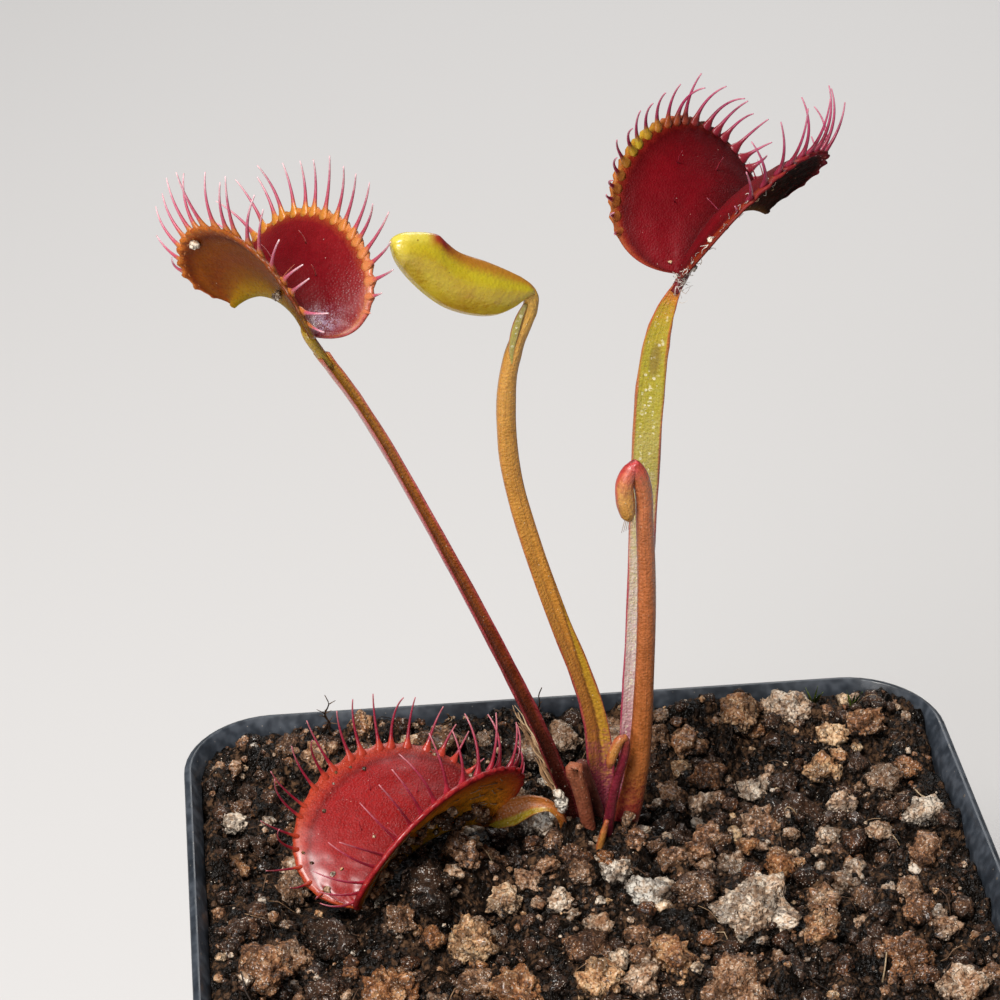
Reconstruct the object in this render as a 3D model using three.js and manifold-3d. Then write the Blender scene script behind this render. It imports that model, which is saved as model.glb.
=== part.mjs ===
// A small Venus flytrap in a square nursery pot, 80 mm across the rim.
// Millimetres, +Z up. The origin is the middle of the pot's underside, and -Y is the front.

import * as THREE from 'three';
import { mergeVertices } from 'three/addons/utils/BufferGeometryUtils.js';
import Module from 'manifold-3d';

const wasm = await Module();
wasm.setup();

// ---------------------------------------------------------------- driving dimensions

const GAP = 0.3; // clearance between pieces that touch
const MERGE = 1e-4; // points closer than this are one point

const POT = {
  rim: 80, // across the lip, outside
  base: 59, // across the underside
  height: 75,
  wall: 0.9,
  floor: 1.4,
  collar: 10, // height of the stacking collar under the lip
  collarStep: 1.1, // how far the collar stands out from the wall
  lip: 0.7, // how far the lip stands out from the collar
  lipHeight: 1.7,
  rimCorner: 8.5, // corner radii, outside
  baseCorner: 5.5,
  drainRadius: 3.2,
  drainOffset: 18,
};

const SOIL = {
  level: 72, // mean height of the top, from the pot's underside
  swell: 0.9, // height of the broad swells
  rough: 0.35, // random roughness of the peat
  nestLevel: 0.3, // the place where the low trap lies, above the mean height
  crumbs: 30, // small grit lumps strewn by chance
};

// Grit lumps that stand out, as [x, y, width].
const LUMPS = [
  [14.8, 4.7, 8.6], [10.9, -6, 7.6], [4.9, 7.3, 4.6], [-13.1, 4.1, 5.4], [-1.6, -3.9, 4.6],
  [2.3, -4.4, 4.6], [24, 34.6, 5], [19.5, 33.5, 4.6], [31.5, 31, 4], [28.2, -2.1, 6.2],
  [19.3, 12, 4.6], [31.8, 23, 4.4], [2, 9.6, 3.4], [-35, 22.4, 2.6], [18.4, 26.3, 3.2],
  [-30.4, 3.6, 4], [-21.5, -1.6, 6], [-9.1, -3, 5.2], [-33, -1, 5.4], [33.4, 11.2, 4],
  [20.4, 0.3, 4], [11, 13.8, 3], [-3.9, 7.6, 2.6], [32, -9.5, 5.2], [-26, 32, 4.2],
  [9, 33.5, 4.4], [-20, -18, 7], [6, -22, 6.4], [24, -24, 7.4], [-6, -33, 5.6],
];

const CROWN = {
  centre: [1.7, 16.4], // where the leaves come out of the soil
  radius: 5.4, // of the bulb, at its top
  top: 69,
  bottom: 55,
};
const LEAF_FOOT = CROWN.top + GAP; // leaf bases stand on the bulb

const ROOT = { radius: 0.7, sides: 6, steps: 7 };
// Roots, as the direction each spreads in (degrees) and the depth that its end reaches.
const ROOTS = [[20, 24], [115, 17], [205, 28], [300, 20]];

const TOOTH = {
  radius: 0.4, // at the margin of the lobe
  foot: 0.55, // wider foot of the tooth, inside the rim
  tip: 0.14,
  steps: 2,
  sunk: 0.7, // how deep the foot sits in the lobe
  endLength: 0.4, // length of the teeth next to the midrib, as a part of the longest
};

const LOBE = {
  rimThickness: 0.66,
  ribThickness: 1,
  lengthSteps: 14,
  widthSteps: 4,
};

// The open traps. Each lobe is part of an oval: halfLength along the midrib, and depth from the
// midrib to the margin, with the oval's own middle standing off the midrib by ovalOffset. arch
// bends the midrib and curl the lobes, in radians per mm. open is how far a lobe leans away
// from the middle plane, and lean how far its teeth turn inwards from it, in degrees. The two
// values in brackets are for the lobe on each side.
const OPEN_TRAPS = {
  left: {
    base: [-25.9, 12, 135], heading: 35, pitch: -6, roll: 16.5,
    halfLength: 7.5, depth: 8.6, ovalOffset: 2.95, arch: 0.116,
    open: [36, 39], curl: [0.048, -0.021], lean: [44, 40], teeth: [17, 19], toothLength: 5.4,
    neck: [0.9, 0.2, -1.6], seed: 11,
  },
  right: {
    base: [8.4, 21, 134.5], heading: -47, pitch: 8, roll: 0.5,
    halfLength: 7.8, depth: 10.6, ovalOffset: 2.9, arch: 0.103,
    open: [57.5, 26.5], curl: [-0.018, 0.058], lean: [72, 64], teeth: [19, 17], toothLength: 6,
    neck: [-0.6, -0.2, -1.6], seed: 23,
  },
  low: {
    base: [-9.5, 19.8, 74.8], heading: 128, pitch: -5, roll: 21.5,
    halfLength: 10, depth: 11.6, ovalOffset: 3.2, arch: 0.054,
    open: [43, 46], curl: [0.028, 0.005], lean: [66, 68], teeth: [17, 19], toothLength: 6.4,
    neck: [1.6, -0.5, -0.3], seed: 37,
  },
};

// The closed trap's outline in its own plane, from the hook round its back to the tip and home
// along the margin, and the direction that plane faces (degrees about Z).
const CLOSED_TRAP = {
  hook: [-6, 16.8, 135.4],
  heading: 15,
  thickness: 2.7,
  outline: [
    [0.4, 0], [0.1, 0.9], [-1.1, 2], [-4, 3.9], [-6.8, 5.5], [-8.7, 7.4], [-10.8, 8.1],
    [-12.4, 8.2], [-13.1, 7.4], [-12.9, 5.9], [-11.2, 3.2], [-8.4, 0.4], [-5.6, -1],
    [-3.4, -1.4], [-1.8, -1], [-0.6, -0.2],
  ],
  thick: [-5.2, 3.2], // where it is thickest, nearer its back than its margin
};

// Leaf stalks, from the foot up: [x, y, z, width]. face is the way the upper side looks, at the
// foot and at the top, and channel is how deep the upper side is folded in.
const BLADES = {
  petiole_left: {
    colour: 0x8e4a2c, thickness: 1.1, channel: 0.5, rows: 16,
    face: [[0.3, -0.9, 0.3], [0.5, -0.8, 0.4]],
    path: [
      [-0.8, 19, LEAF_FOOT, 1.4], [-1.4, 18.6, 75, 1.6], [-4, 17.7, 84.1, 1.6], [-7.7, 16.7, 94, 1.5],
      [-14.4, 14.9, 110.4, 1.2], [-21.4, 13.1, 126.2, 1], [-25.1, 12.3, 132.9, 1],
    ],
  },
  petiole_middle: {
    colour: 0xb07a35, thickness: 1.3, channel: 0.35, rows: 20,
    face: [[0.2, -1, 0.1], [0.1, -1, 0.1]],
    path: [
      [1.8, 19, LEAF_FOOT, 2], [1.6, 18.9, 76.6, 2.2], [1.3, 18.6, 82.8, 2.3], [0.6, 18.4, 87.8, 2.2],
      [-1, 18.2, 93.6, 2], [-3.2, 18, 100, 1.9], [-6.6, 17.5, 111.9, 1.8], [-7.8, 17.2, 118.2, 1.8],
      [-8.1, 16.9, 124.9, 1.7], [-7.6, 16.7, 130.1, 1.3], [-6.6, 16.7, 133, 1.2], [-6.1, 16.8, 134.6, 1.1],
    ],
  },
  petiole_right: {
    colour: 0xa8a03c, thickness: 1.1, channel: 0.3, rows: 16,
    face: [[-0.1, -1, 0.1], [-0.3, -1, 0.1]],
    path: [
      [4.4, 19.4, LEAF_FOOT, 1.9], [4.5, 19.5, 76, 2], [4.6, 19.7, 84.5, 2.1], [4.9, 19.9, 90.4, 2.3],
      [5.2, 20.1, 102.8, 2.4], [5.4, 20.4, 113, 2.7], [5.7, 20.7, 122, 2.7], [6.2, 20.8, 128, 2.4],
      [7.1, 20.9, 131.3, 1.9], [7.7, 20.9, 132.3, 1.4],
    ],
  },
  petiole_low: {
    colour: 0xa5622a, thickness: 1.1, channel: 0.4, rows: 10,
    face: [[-0.5, -0.6, 0.6], [-0.2, -0.4, 0.9]],
    path: [
      [-2, 16.2, LEAF_FOOT, 1.3], [-2.4, 16.7, 72.6, 1.4], [-3.5, 17.9, 75.4, 1.8], [-5, 18.8, 76, 2.1],
      [-6.3, 19.2, 75.4, 1.9], [-7.4, 19.4, 74.7, 1.5],
    ],
  },
  sheath: {
    colour: 0x4a2018, thickness: 0.65, channel: 0.3, rows: 6,
    face: [[-0.2, -1, 0.1], [-0.3, -1, 0.2]],
    path: [[1.1, 17.1, LEAF_FOOT, 1.3], [1, 17.1, 76.2, 1.5], [0.2, 17, 79.5, 1.5], [-0.7, 17, 83, 1.1]],
  },
};

// Round stems, from the foot up: [x, y, z, width, depth].
const STEMS = {
  leaf_young: {
    colour: 0xa3502c, rows: 16,
    path: [
      [2.7, 15.7, LEAF_FOOT, 2.2, 1.5], [3.1, 15.6, 74, 2.6, 1.6], [4.1, 15.3, 79.1, 2.6, 1.7],
      [4.8, 15.1, 85.4, 2.2, 1.7], [5, 14.9, 93.9, 1.9, 1.6], [4.9, 14.5, 104.6, 1.8, 1.5],
      [4.5, 14.3, 111.8, 1.7, 1.5], [4.2, 14.1, 116, 1.7, 1.5], [3.6, 14, 118, 1.6, 1.5],
      [3, 14, 118.8, 1.3, 1.1],
    ],
    bud: [
      [3.4, 14, 118.5, 1.2, 1.2], [2.9, 13.9, 118.1, 1.5, 1.5], [2.4, 13.7, 116.9, 1.7, 1.7],
      [2.4, 13.5, 115.2, 1.7, 1.6], [2.8, 13.4, 113.9, 1.1, 1.1], [3, 13.4, 113.3, 0.5, 0.5],
    ],
  },
  leaf_tiny: {
    colour: 0x9c3a34, rows: 6,
    path: [
      [1.4, 13.7, LEAF_FOOT, 1.2, 0.9], [1.5, 13.6, 76, 1.2, 0.9], [2.1, 13.4, 82, 1, 0.8],
      [3, 13.2, 86.4, 0.9, 0.8], [3.1, 13.1, 88, 0.8, 0.8], [2.8, 13.1, 88.7, 0.6, 0.6],
    ],
    bud: [
      [3, 13.1, 88.5, 0.7, 0.7], [2.5, 13, 88.3, 1, 1], [2, 12.9, 87.4, 1.1, 1.1],
      [1.6, 12.9, 86, 1, 1], [1.5, 12.9, 85.2, 0.5, 0.5],
    ],
  },
  leaf_bud: {
    colour: 0xc98a34, rows: 5,
    path: [
      [0.2, 13, LEAF_FOOT, 0.8, 0.8], [0.6, 12.8, 75, 0.8, 0.8], [1, 12.5, 77.6, 0.7, 0.7],
      [1.3, 12.3, 79.2, 0.4, 0.4],
    ],
  },
  stump: {
    colour: 0x9a5a3c, rows: 5,
    path: [[0.3, 15.5, LEAF_FOOT, 1.3, 1.1], [0.2, 15.4, 74, 1.4, 1.2], [-0.6, 15, 79.2, 1.5, 1.2],
      [-1.8, 14.5, 84.4, 1.7, 1.2]],
  },
};

// ---------------------------------------------------------------- small tools

const toRadians = THREE.MathUtils.degToRad;
const mix = THREE.MathUtils.lerp;

/** A repeatable stream of numbers from 0 to 1. */
function randomStream(seed) {
  let state = seed;
  return () => {
    state = (state * 1664525 + 1013904223) % 4294967296;
    return state / 4294967296;
  };
}

/** Index list of a merged geometry without triangles that have collapsed. */
function wholeTriangles(geometry) {
  const index = geometry.index.array;
  const kept = [];
  for (let i = 0; i < index.length; i += 3) {
    const [a, b, c] = index.slice(i, i + 3);
    if (a !== b && b !== c && c !== a) kept.push(a, b, c);
  }
  return kept;
}

/** Six times the volume inside the triangles: negative when they face inwards. */
function signedVolume(geometry) {
  const position = geometry.attributes.position;
  const corner = (i) => new THREE.Vector3().fromBufferAttribute(position, geometry.index.getX(i));
  let sum = 0;
  for (let i = 0; i < geometry.index.count; i += 3) {
    sum += corner(i).dot(corner(i + 1).cross(corner(i + 2)));
  }
  return sum;
}

/** Merges a closed geometry's points and turns its faces outwards. */
function welded(source) {
  const bare = source.clone();
  bare.deleteAttribute('normal');
  bare.deleteAttribute('uv');
  const merged = mergeVertices(bare, MERGE);
  merged.setIndex(wholeTriangles(merged));
  if (signedVolume(merged) < 0) merged.setIndex(Array.from(merged.index.array).reverse());
  return merged;
}

/** A solid for joining and cutting, from any closed geometry. */
function solidOf(source) {
  const geometry = welded(source);
  return new wasm.Manifold(new wasm.Mesh({
    numProp: 3,
    vertProperties: Float32Array.from(geometry.attributes.position.array),
    triVerts: Uint32Array.from(geometry.index.array),
  }));
}

function geometryOf(solid) {
  const mesh = solid.getMesh();
  const geometry = new THREE.BufferGeometry();
  const numbers = Float32Array.from(mesh.vertProperties);
  geometry.setAttribute('position', new THREE.BufferAttribute(numbers, 3));
  geometry.setIndex(Array.from(mesh.triVerts));
  return geometry;
}

const joined = (solids) => solids.reduce((whole, next) => whole.add(next));

/** Closed geometry from a list of triangles, each of three points. */
function trianglesToGeometry(triangles) {
  const numbers = triangles.flat().flatMap((p) => [p.x, p.y, p.z]);
  const geometry = new THREE.BufferGeometry();
  geometry.setAttribute('position', new THREE.Float32BufferAttribute(numbers, 3));
  return welded(geometry);
}

/** Two triangles for each cell between two rows of points. */
function stitch(rowA, rowB, closed) {
  const triangles = [];
  const cells = closed ? rowA.length : rowA.length - 1;
  for (let j = 0; j < cells; j += 1) {
    const k = (j + 1) % rowA.length;
    triangles.push([rowA[j], rowB[j], rowB[k]], [rowA[j], rowB[k], rowA[k]]);
  }
  return triangles;
}

/** Closes a ring with a fan from its first point. */
function fan(ring, reverse) {
  const triangles = [];
  for (let j = 1; j + 1 < ring.length; j += 1) {
    const [p, q] = reverse ? [ring[j + 1], ring[j]] : [ring[j], ring[j + 1]];
    triangles.push([ring[0], p, q]);
  }
  return triangles;
}

/** Ring of points round a middle, in the plane of two directions. */
function circle(middle, side, out, radius, sides, firstTurn = 0) {
  return Array.from({ length: sides }, (_, j) => {
    const turn = firstTurn + (j / sides) * 2 * Math.PI;
    return middle.clone()
      .addScaledVector(side, radius * Math.cos(turn))
      .addScaledVector(out, radius * Math.sin(turn));
  });
}

/** Skin over a row of rings, closed at both ends. */
function loft(rings) {
  const triangles = [...fan(rings[0], false), ...fan(rings[rings.length - 1], true)];
  for (let i = 0; i + 1 < rings.length; i += 1) triangles.push(...stitch(rings[i], rings[i + 1], true));
  return trianglesToGeometry(triangles);
}

/** Solid between two grids of points that lie face to face, closed round their edges. */
function slab(upper, lower) {
  const triangles = [];
  const last = upper.length - 1;
  for (let i = 0; i < last; i += 1) {
    triangles.push(...stitch(upper[i], upper[i + 1], false));
    triangles.push(...stitch(lower[i + 1], lower[i], false));
    const left = [upper[i][0], lower[i][0]];
    const leftNext = [upper[i + 1][0], lower[i + 1][0]];
    triangles.push(...stitch(leftNext, left, false));
    const right = [upper[i].at(-1), lower[i].at(-1)];
    const rightNext = [upper[i + 1].at(-1), lower[i + 1].at(-1)];
    triangles.push(...stitch(right, rightNext, false));
  }
  triangles.push(...stitch(lower[0], upper[0], false), ...stitch(upper[last], lower[last], false));
  return trianglesToGeometry(triangles);
}

/** Smooth path through points that each carry further values after x, y and z. */
function pathThrough(points) {
  const curve = new THREE.CatmullRomCurve3(points.map(([x, y, z]) => new THREE.Vector3(x, y, z)));
  const spans = points.length - 1;
  return {
    point: (t) => curve.getPoint(t),
    tangent: (t) => curve.getTangent(t),
    value: (t, k) => {
      const i = Math.min(Math.floor(t * spans), spans - 1);
      return mix(points[i][3 + k], points[i + 1][3 + k], t * spans - i);
    },
  };
}

const meshOf = (name, geometry, colour, roughness) => {
  const material = new THREE.MeshStandardMaterial({ color: colour, roughness, metalness: 0 });
  const mesh = new THREE.Mesh(geometry, material);
  mesh.name = name;
  return mesh;
};

// ---------------------------------------------------------------- pot

/** Ring of points round a square with rounded corners, at one height. */
function squareRing(across, corner, z, sideSteps = 1, height = () => 0) {
  const points = [];
  const flat = across / 2 - corner;
  const cornerSteps = 4;
  for (let side = 0; side < 4; side += 1) {
    const turn = (side * Math.PI) / 2;
    for (let i = 0; i <= cornerSteps; i += 1) {
      const angle = turn + (i / cornerSteps) * (Math.PI / 2);
      const middle = turn + Math.PI / 4;
      const x = Math.SQRT2 * flat * Math.cos(middle) + corner * Math.cos(angle);
      const y = Math.SQRT2 * flat * Math.sin(middle) + corner * Math.sin(angle);
      points.push([x, y]);
    }
    const end = points.at(-1);
    const along = turn + Math.PI;
    for (let i = 1; i < sideSteps; i += 1) {
      const run = (i / sideSteps) * 2 * flat;
      points.push([end[0] + run * Math.cos(along), end[1] + run * Math.sin(along)]);
    }
  }
  return points.map(([x, y]) => new THREE.Vector3(x, y, z + height(x, y)));
}

/** Outside width of the pot's tapered wall at a height, without its collar. */
function wallWidth(z) {
  const top = POT.rim - 2 * (POT.lip + POT.collarStep);
  return mix(POT.base, top, z / POT.height);
}

/** Corner radius of the wall's outside at a height. */
function wallCorner(z) {
  return mix(POT.baseCorner, POT.rimCorner, z / POT.height);
}

function pot() {
  const { height, wall, floor, collar, collarStep, lip, lipHeight } = POT;
  const ring = (z, out) => squareRing(wallWidth(z) + 2 * out, wallCorner(z) + out, z);
  const foot = 0.8; // chamfer round the underside
  const collarFoot = height - collar;
  const lipFoot = height - lipHeight;
  const round = 0.35; // of the lip
  const outside = [
    ring(0, -foot),
    ring(foot, 0),
    ring(collarFoot - collarStep, 0),
    ring(collarFoot, collarStep),
    ring(lipFoot - lip, collarStep),
    ring(lipFoot, collarStep + lip - round),
    ring(lipFoot + round, collarStep + lip),
    ring(height - round, collarStep + lip),
    ring(height, collarStep + lip - round),
  ];
  const inside = [
    ring(height, collarStep - wall + round),
    ring(height - round, collarStep - wall),
    ring(collarFoot, collarStep - wall),
    ring(collarFoot - collarStep, -wall),
    ring(floor, -wall),
  ];
  let body = solidOf(loft([...outside, ...inside]));
  const drain = new THREE.CylinderGeometry(POT.drainRadius, POT.drainRadius, 4 * floor, 14);
  drain.rotateX(Math.PI / 2);
  for (const x of [-1, 1]) {
    for (const y of [-1, 1]) {
      const hole = drain.clone().translate(x * POT.drainOffset, y * POT.drainOffset, 0);
      body = body.subtract(solidOf(hole));
    }
  }
  return meshOf('pot', geometryOf(body), 0x1d2126, 0.45);
}

// ---------------------------------------------------------------- bulb and roots

/** Profile of the bulb from its bottom to its top, as [radius, z], grown by a clearance. */
function bulbProfile(grow) {
  const { radius, top, bottom } = CROWN;
  const height = top - bottom;
  return [
    [0, bottom - grow],
    [0.3 * radius + grow, bottom + 0.04 * height - grow],
    [0.62 * radius + grow, bottom + 0.25 * height],
    [0.94 * radius + grow, bottom + 0.55 * height],
    [radius + grow, bottom + 0.8 * height],
    [0.96 * radius + grow, top + grow],
    [0, top + grow],
  ];
}

function turned(profile, sides) {
  const points = profile.map(([r, z]) => new THREE.Vector2(r, z));
  const geometry = new THREE.LatheGeometry(points, sides);
  geometry.rotateX(Math.PI / 2);
  geometry.translate(CROWN.centre[0], CROWN.centre[1], 0);
  return geometry;
}

/** One root: out of the bulb's lower side, then down to its own depth. */
function rootTube([direction, depth], grow) {
  const angle = toRadians(direction);
  const at = (reach, z) => [
    CROWN.centre[0] + reach * Math.cos(angle), CROWN.centre[1] + reach * Math.sin(angle), z,
  ];
  const path = pathThrough([
    at(0.5, CROWN.bottom + 4), at(4, CROWN.bottom - 2), at(9, CROWN.bottom - 12), at(10.5, depth - grow),
  ]);
  const rings = [];
  for (let i = 0; i <= ROOT.steps; i += 1) {
    const t = i / ROOT.steps;
    const radius = ROOT.radius * mix(1, 0.6, t) + grow;
    const middle = path.point(t);
    const along = path.tangent(t);
    const side = new THREE.Vector3(-Math.sin(angle), Math.cos(angle), 0);
    const out = side.clone().cross(along);
    rings.push(circle(middle, side, out, radius, ROOT.sides));
  }
  return solidOf(loft(rings));
}

function rhizomeSolid(grow) {
  return joined([solidOf(turned(bulbProfile(grow), 16)), ...ROOTS.map((root) => rootTube(root, grow))]);
}

// ---------------------------------------------------------------- soil

/** How far a place on the soil lies under the trap that rests on it, from 0 to 1. */
function nest(x, y) {
  const { base, heading, halfLength } = OPEN_TRAPS.low;
  const angle = toRadians(heading);
  const along = [-Math.sin(angle), Math.cos(angle)];
  const dx = x - base[0] - along[0] * halfLength;
  const dy = y - base[1] - along[1] * halfLength;
  const u = dx * along[0] + dy * along[1];
  const v = dx * along[1] - dy * along[0];
  return Math.exp(-((u / 12) ** 4) - ((v / 11) ** 4));
}

/** Height of the soil's top above its mean level: broad swells, level under the trap on it. */
function soilHeight(x, y) {
  const broad = Math.sin(0.11 * x + 0.6) * Math.cos(0.13 * y - 0.4);
  const ripple = 0.4 * Math.sin(0.31 * x - 0.27 * y);
  return mix(SOIL.swell * (broad + ripple), SOIL.nestLevel, nest(x, y));
}

/** One angular lump of grit, sunk a third of its height into the soil. */
function lump(x, y, width, detail, random) {
  const shape = new THREE.IcosahedronGeometry(0.5, detail);
  shape.deleteAttribute('normal');
  shape.deleteAttribute('uv');
  const merged = mergeVertices(shape, MERGE);
  const position = merged.attributes.position;
  const knobbly = 0.24;
  for (let i = 0; i < position.count; i += 1) {
    const size = width * (1 + knobbly * (random() - 0.5));
    position.setXYZ(i, position.getX(i) * size, position.getY(i) * size, position.getZ(i) * size);
  }
  merged.scale(1, mix(0.75, 1, random()), mix(0.6, 0.8, random()));
  merged.rotateZ(random() * 2 * Math.PI);
  merged.rotateX((random() - 0.5) * 0.6);
  return solidOf(merged.translate(x, y, SOIL.level + soilHeight(x, y) + 0.05 * width - 0.2));
}

/** True where a lump of this width clears the pot, the crown and the trap on the soil. */
function roomForLump(x, y, width) {
  const inner = wallWidth(SOIL.level) / 2 + POT.collarStep - POT.wall - GAP;
  const reach = 0.62 * width;
  const corner = inner - POT.rimCorner;
  const intoCorner = Math.hypot(Math.max(Math.abs(x) - corner, 0), Math.max(Math.abs(y) - corner, 0));
  const fromCrown = Math.hypot(x - CROWN.centre[0], y - CROWN.centre[1]);
  const inPot = Math.max(Math.abs(x), Math.abs(y)) + reach < inner && intoCorner + reach < POT.rimCorner;
  return inPot && fromCrown > CROWN.radius + reach + GAP && nest(x, y) < 0.2;
}

function soil(rhizomeHole) {
  const random = randomStream(5);
  const clear = POT.wall + GAP;
  const collarFoot = POT.height - POT.collar;
  const sideSteps = 4;
  const ring = (z, out) => squareRing(wallWidth(z) + 2 * out, wallCorner(z) + out, z, sideSteps);
  const edge = wallWidth(SOIL.level) + 2 * (POT.collarStep - clear);
  const edgeCorner = wallCorner(SOIL.level) + POT.collarStep - clear;
  const surface = (x, y) => soilHeight(x, y) + SOIL.rough * (2 * random() - 1);
  const topRing = (part) => squareRing(edge * part, edgeCorner * part, SOIL.level, sideSteps, surface);
  const rings = [
    ring(POT.floor + GAP, -clear),
    ring(collarFoot - POT.collarStep, -clear),
    ring(collarFoot, POT.collarStep - clear),
    ...[1, 0.88, 0.75, 0.61, 0.46, 0.3, 0.15].map(topRing),
  ];
  const lumps = [];
  for (const [x, y, width] of LUMPS) {
    if (roomForLump(x, y, width)) lumps.push(lump(x, y, width, width > 7 ? 1 : 0, random));
  }
  const half = edge / 2;
  while (lumps.length < LUMPS.length + SOIL.crumbs) {
    const x = half * (2 * random() - 1);
    const y = half * (2 * random() - 1);
    const width = mix(1.6, 3.6, random() ** 2);
    if (roomForLump(x, y, width)) lumps.push(lump(x, y, width, 0, random));
  }
  const block = joined([solidOf(loft(rings)), ...lumps]);
  const mouth = CROWN.radius + GAP;
  const [shaftFoot, shaftTop] = [CROWN.top - 1, POT.height + 9];
  const shaft = turned([[0, shaftFoot], [mouth, shaftFoot], [mouth, shaftTop], [0, shaftTop]], 16);
  const body = block.subtract(rhizomeHole.add(solidOf(shaft)));
  return meshOf('soil', geometryOf(body), 0x2a211b, 0.85);
}

// ---------------------------------------------------------------- leaf stalks

/** Flat or channelled stalk: a slab whose upper side is folded in along its middle. */
function blade(name, { path, face, thickness, channel, rows, colour }) {
  const route = pathThrough(path);
  const [faceFoot, faceTop] = face.map((f) => new THREE.Vector3(...f));
  const columns = [-1, -0.5, 0, 0.5, 1];
  const edge = 0.62; // thickness along the two edges
  const upper = [];
  const lower = [];
  for (let i = 0; i <= rows; i += 1) {
    const t = i / rows;
    const middle = route.point(t);
    const along = route.tangent(t);
    const side = along.clone().cross(faceFoot.clone().lerp(faceTop, t)).normalize();
    const out = side.clone().cross(along).normalize();
    const width = route.value(t, 0);
    const place = (s, h) => middle.clone().addScaledVector(side, (s * width) / 2).addScaledVector(out, h);
    const rise = (s) => channel * s * s;
    const depth = (s) => mix(thickness, edge, s * s);
    upper.push(columns.map((s) => place(s, rise(s) + 0.2 * thickness)));
    lower.push(columns.map((s) => place(s, rise(s) + 0.2 * thickness - depth(s))));
  }
  return meshOf(name, slab(upper, lower), colour, 0.4);
}

/** Skin of a round stem whose rings are as wide and deep as its path says. */
function stemSolid(points, rows) {
  const route = pathThrough(points);
  const front = new THREE.Vector3(0, -1, 0);
  const sides = 8;
  const rings = [];
  for (let i = 0; i <= rows; i += 1) {
    const t = i / rows;
    const along = route.tangent(t);
    const side = along.clone().cross(front).normalize();
    const out = side.clone().cross(along).normalize();
    rings.push(Array.from({ length: sides }, (_, j) => {
      const turn = ((j + 0.5) / sides) * 2 * Math.PI;
      return route.point(t)
        .addScaledVector(side, (route.value(t, 0) / 2) * Math.cos(turn))
        .addScaledVector(out, (route.value(t, 1) / 2) * Math.sin(turn));
    }));
  }
  return solidOf(loft(rings));
}

/** Stem with, on a young leaf, the folded trap that hangs from its hooked top. */
function stem(name, { path, bud, rows, colour }) {
  let body = stemSolid(path, rows);
  if (bud) body = body.add(stemSolid(bud, 6));
  return meshOf(name, geometryOf(body), colour, 0.4);
}

// ---------------------------------------------------------------- open traps

/** Tools that place points on the bent sheet of an open trap. */
function trapSurface({ halfLength, depth, ovalOffset, arch, open, curl }) {
  const ovalHeight = depth - ovalOffset;
  const startAngle = Math.asin(ovalOffset / ovalHeight);
  const ribEnd = halfLength * Math.cos(startAngle);

  /** Bends a flat place, b to the side of the midrib and a along it, into the open trap. */
  function bend(side, a, b) {
    const which = side < 0 ? 0 : 1;
    const lean = toRadians(open[which]);
    const bow = curl[which];
    const leanHere = lean + bow * b;
    const across = (Math.cos(lean) - Math.cos(leanHere)) / bow;
    const rise = (Math.sin(leanHere) - Math.sin(lean)) / bow;
    const radius = 1 / arch + rise;
    const turn = arch * a;
    return new THREE.Vector3(side * across, Math.sin(turn) * radius, Math.cos(turn) * radius - 1 / arch);
  }
  const base = bend(1, -ribEnd, 0);

  /** u runs along the trap from its stalk to its tip, w from the midrib (0) to the margin (1). */
  function point(side, u, w) {
    const angle = Math.PI + startAngle - u * (Math.PI + 2 * startAngle);
    const margin = [halfLength * Math.cos(angle), ovalOffset + ovalHeight * Math.sin(angle)];
    const rib = mix(-ribEnd, ribEnd, u);
    return bend(side, mix(rib, margin[0], w), Math.max(margin[1], 0) * w).sub(base);
  }

  /** Upward direction at the midrib. */
  function ribNormal(u) {
    const turn = arch * mix(-ribEnd, ribEnd, u);
    return new THREE.Vector3(0, Math.sin(turn), Math.cos(turn));
  }

  /** Directions on a lobe: along its length, out towards its margin, and into the trap. */
  function frame(side, u, w) {
    const step = 0.01;
    const [before, after] = [Math.max(u - step, 0), Math.min(u + step, 1)];
    const [below, above] = [Math.max(w - step, 0), Math.min(w + step, 1)];
    const along = point(side, after, w).sub(point(side, before, w)).normalize();
    const outward = point(side, u, above).sub(point(side, u, below));
    outward.addScaledVector(along, -outward.dot(along)).normalize();
    const inward = along.clone().cross(outward).multiplyScalar(-side);
    if (inward.dot(ribNormal(u)) < 0) inward.negate();
    return { along, outward, inward };
  }
  return { point, ribNormal, frame };
}

/** Both lobes and the midrib between them, as one bent slab. */
function lobes(surface) {
  const { lengthSteps, widthSteps, ribThickness, rimThickness } = LOBE;
  const inner = [];
  const outer = [];
  for (let i = 0; i <= lengthSteps; i += 1) {
    const u = i / lengthSteps;
    const atEnd = i === 0 || i === lengthSteps;
    const innerRow = [];
    const outerRow = [];
    for (let j = -widthSteps; j <= widthSteps; j += 1) {
      const w = Math.abs(j) / widthSteps;
      const side = j < 0 ? -1 : 1;
      const onRib = j === 0 || atEnd;
      const place = surface.point(side, u, w);
      const normal = onRib ? surface.ribNormal(u) : surface.frame(side, u, w).inward;
      const back = onRib ? ribThickness - rimThickness / 2 : rimThickness / 2;
      innerRow.push(place.clone().addScaledVector(normal, rimThickness / 2));
      outerRow.push(place.clone().addScaledVector(normal, -back));
    }
    inner.push(innerRow);
    outer.push(outerRow);
  }
  return solidOf(slab(inner, outer));
}

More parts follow.
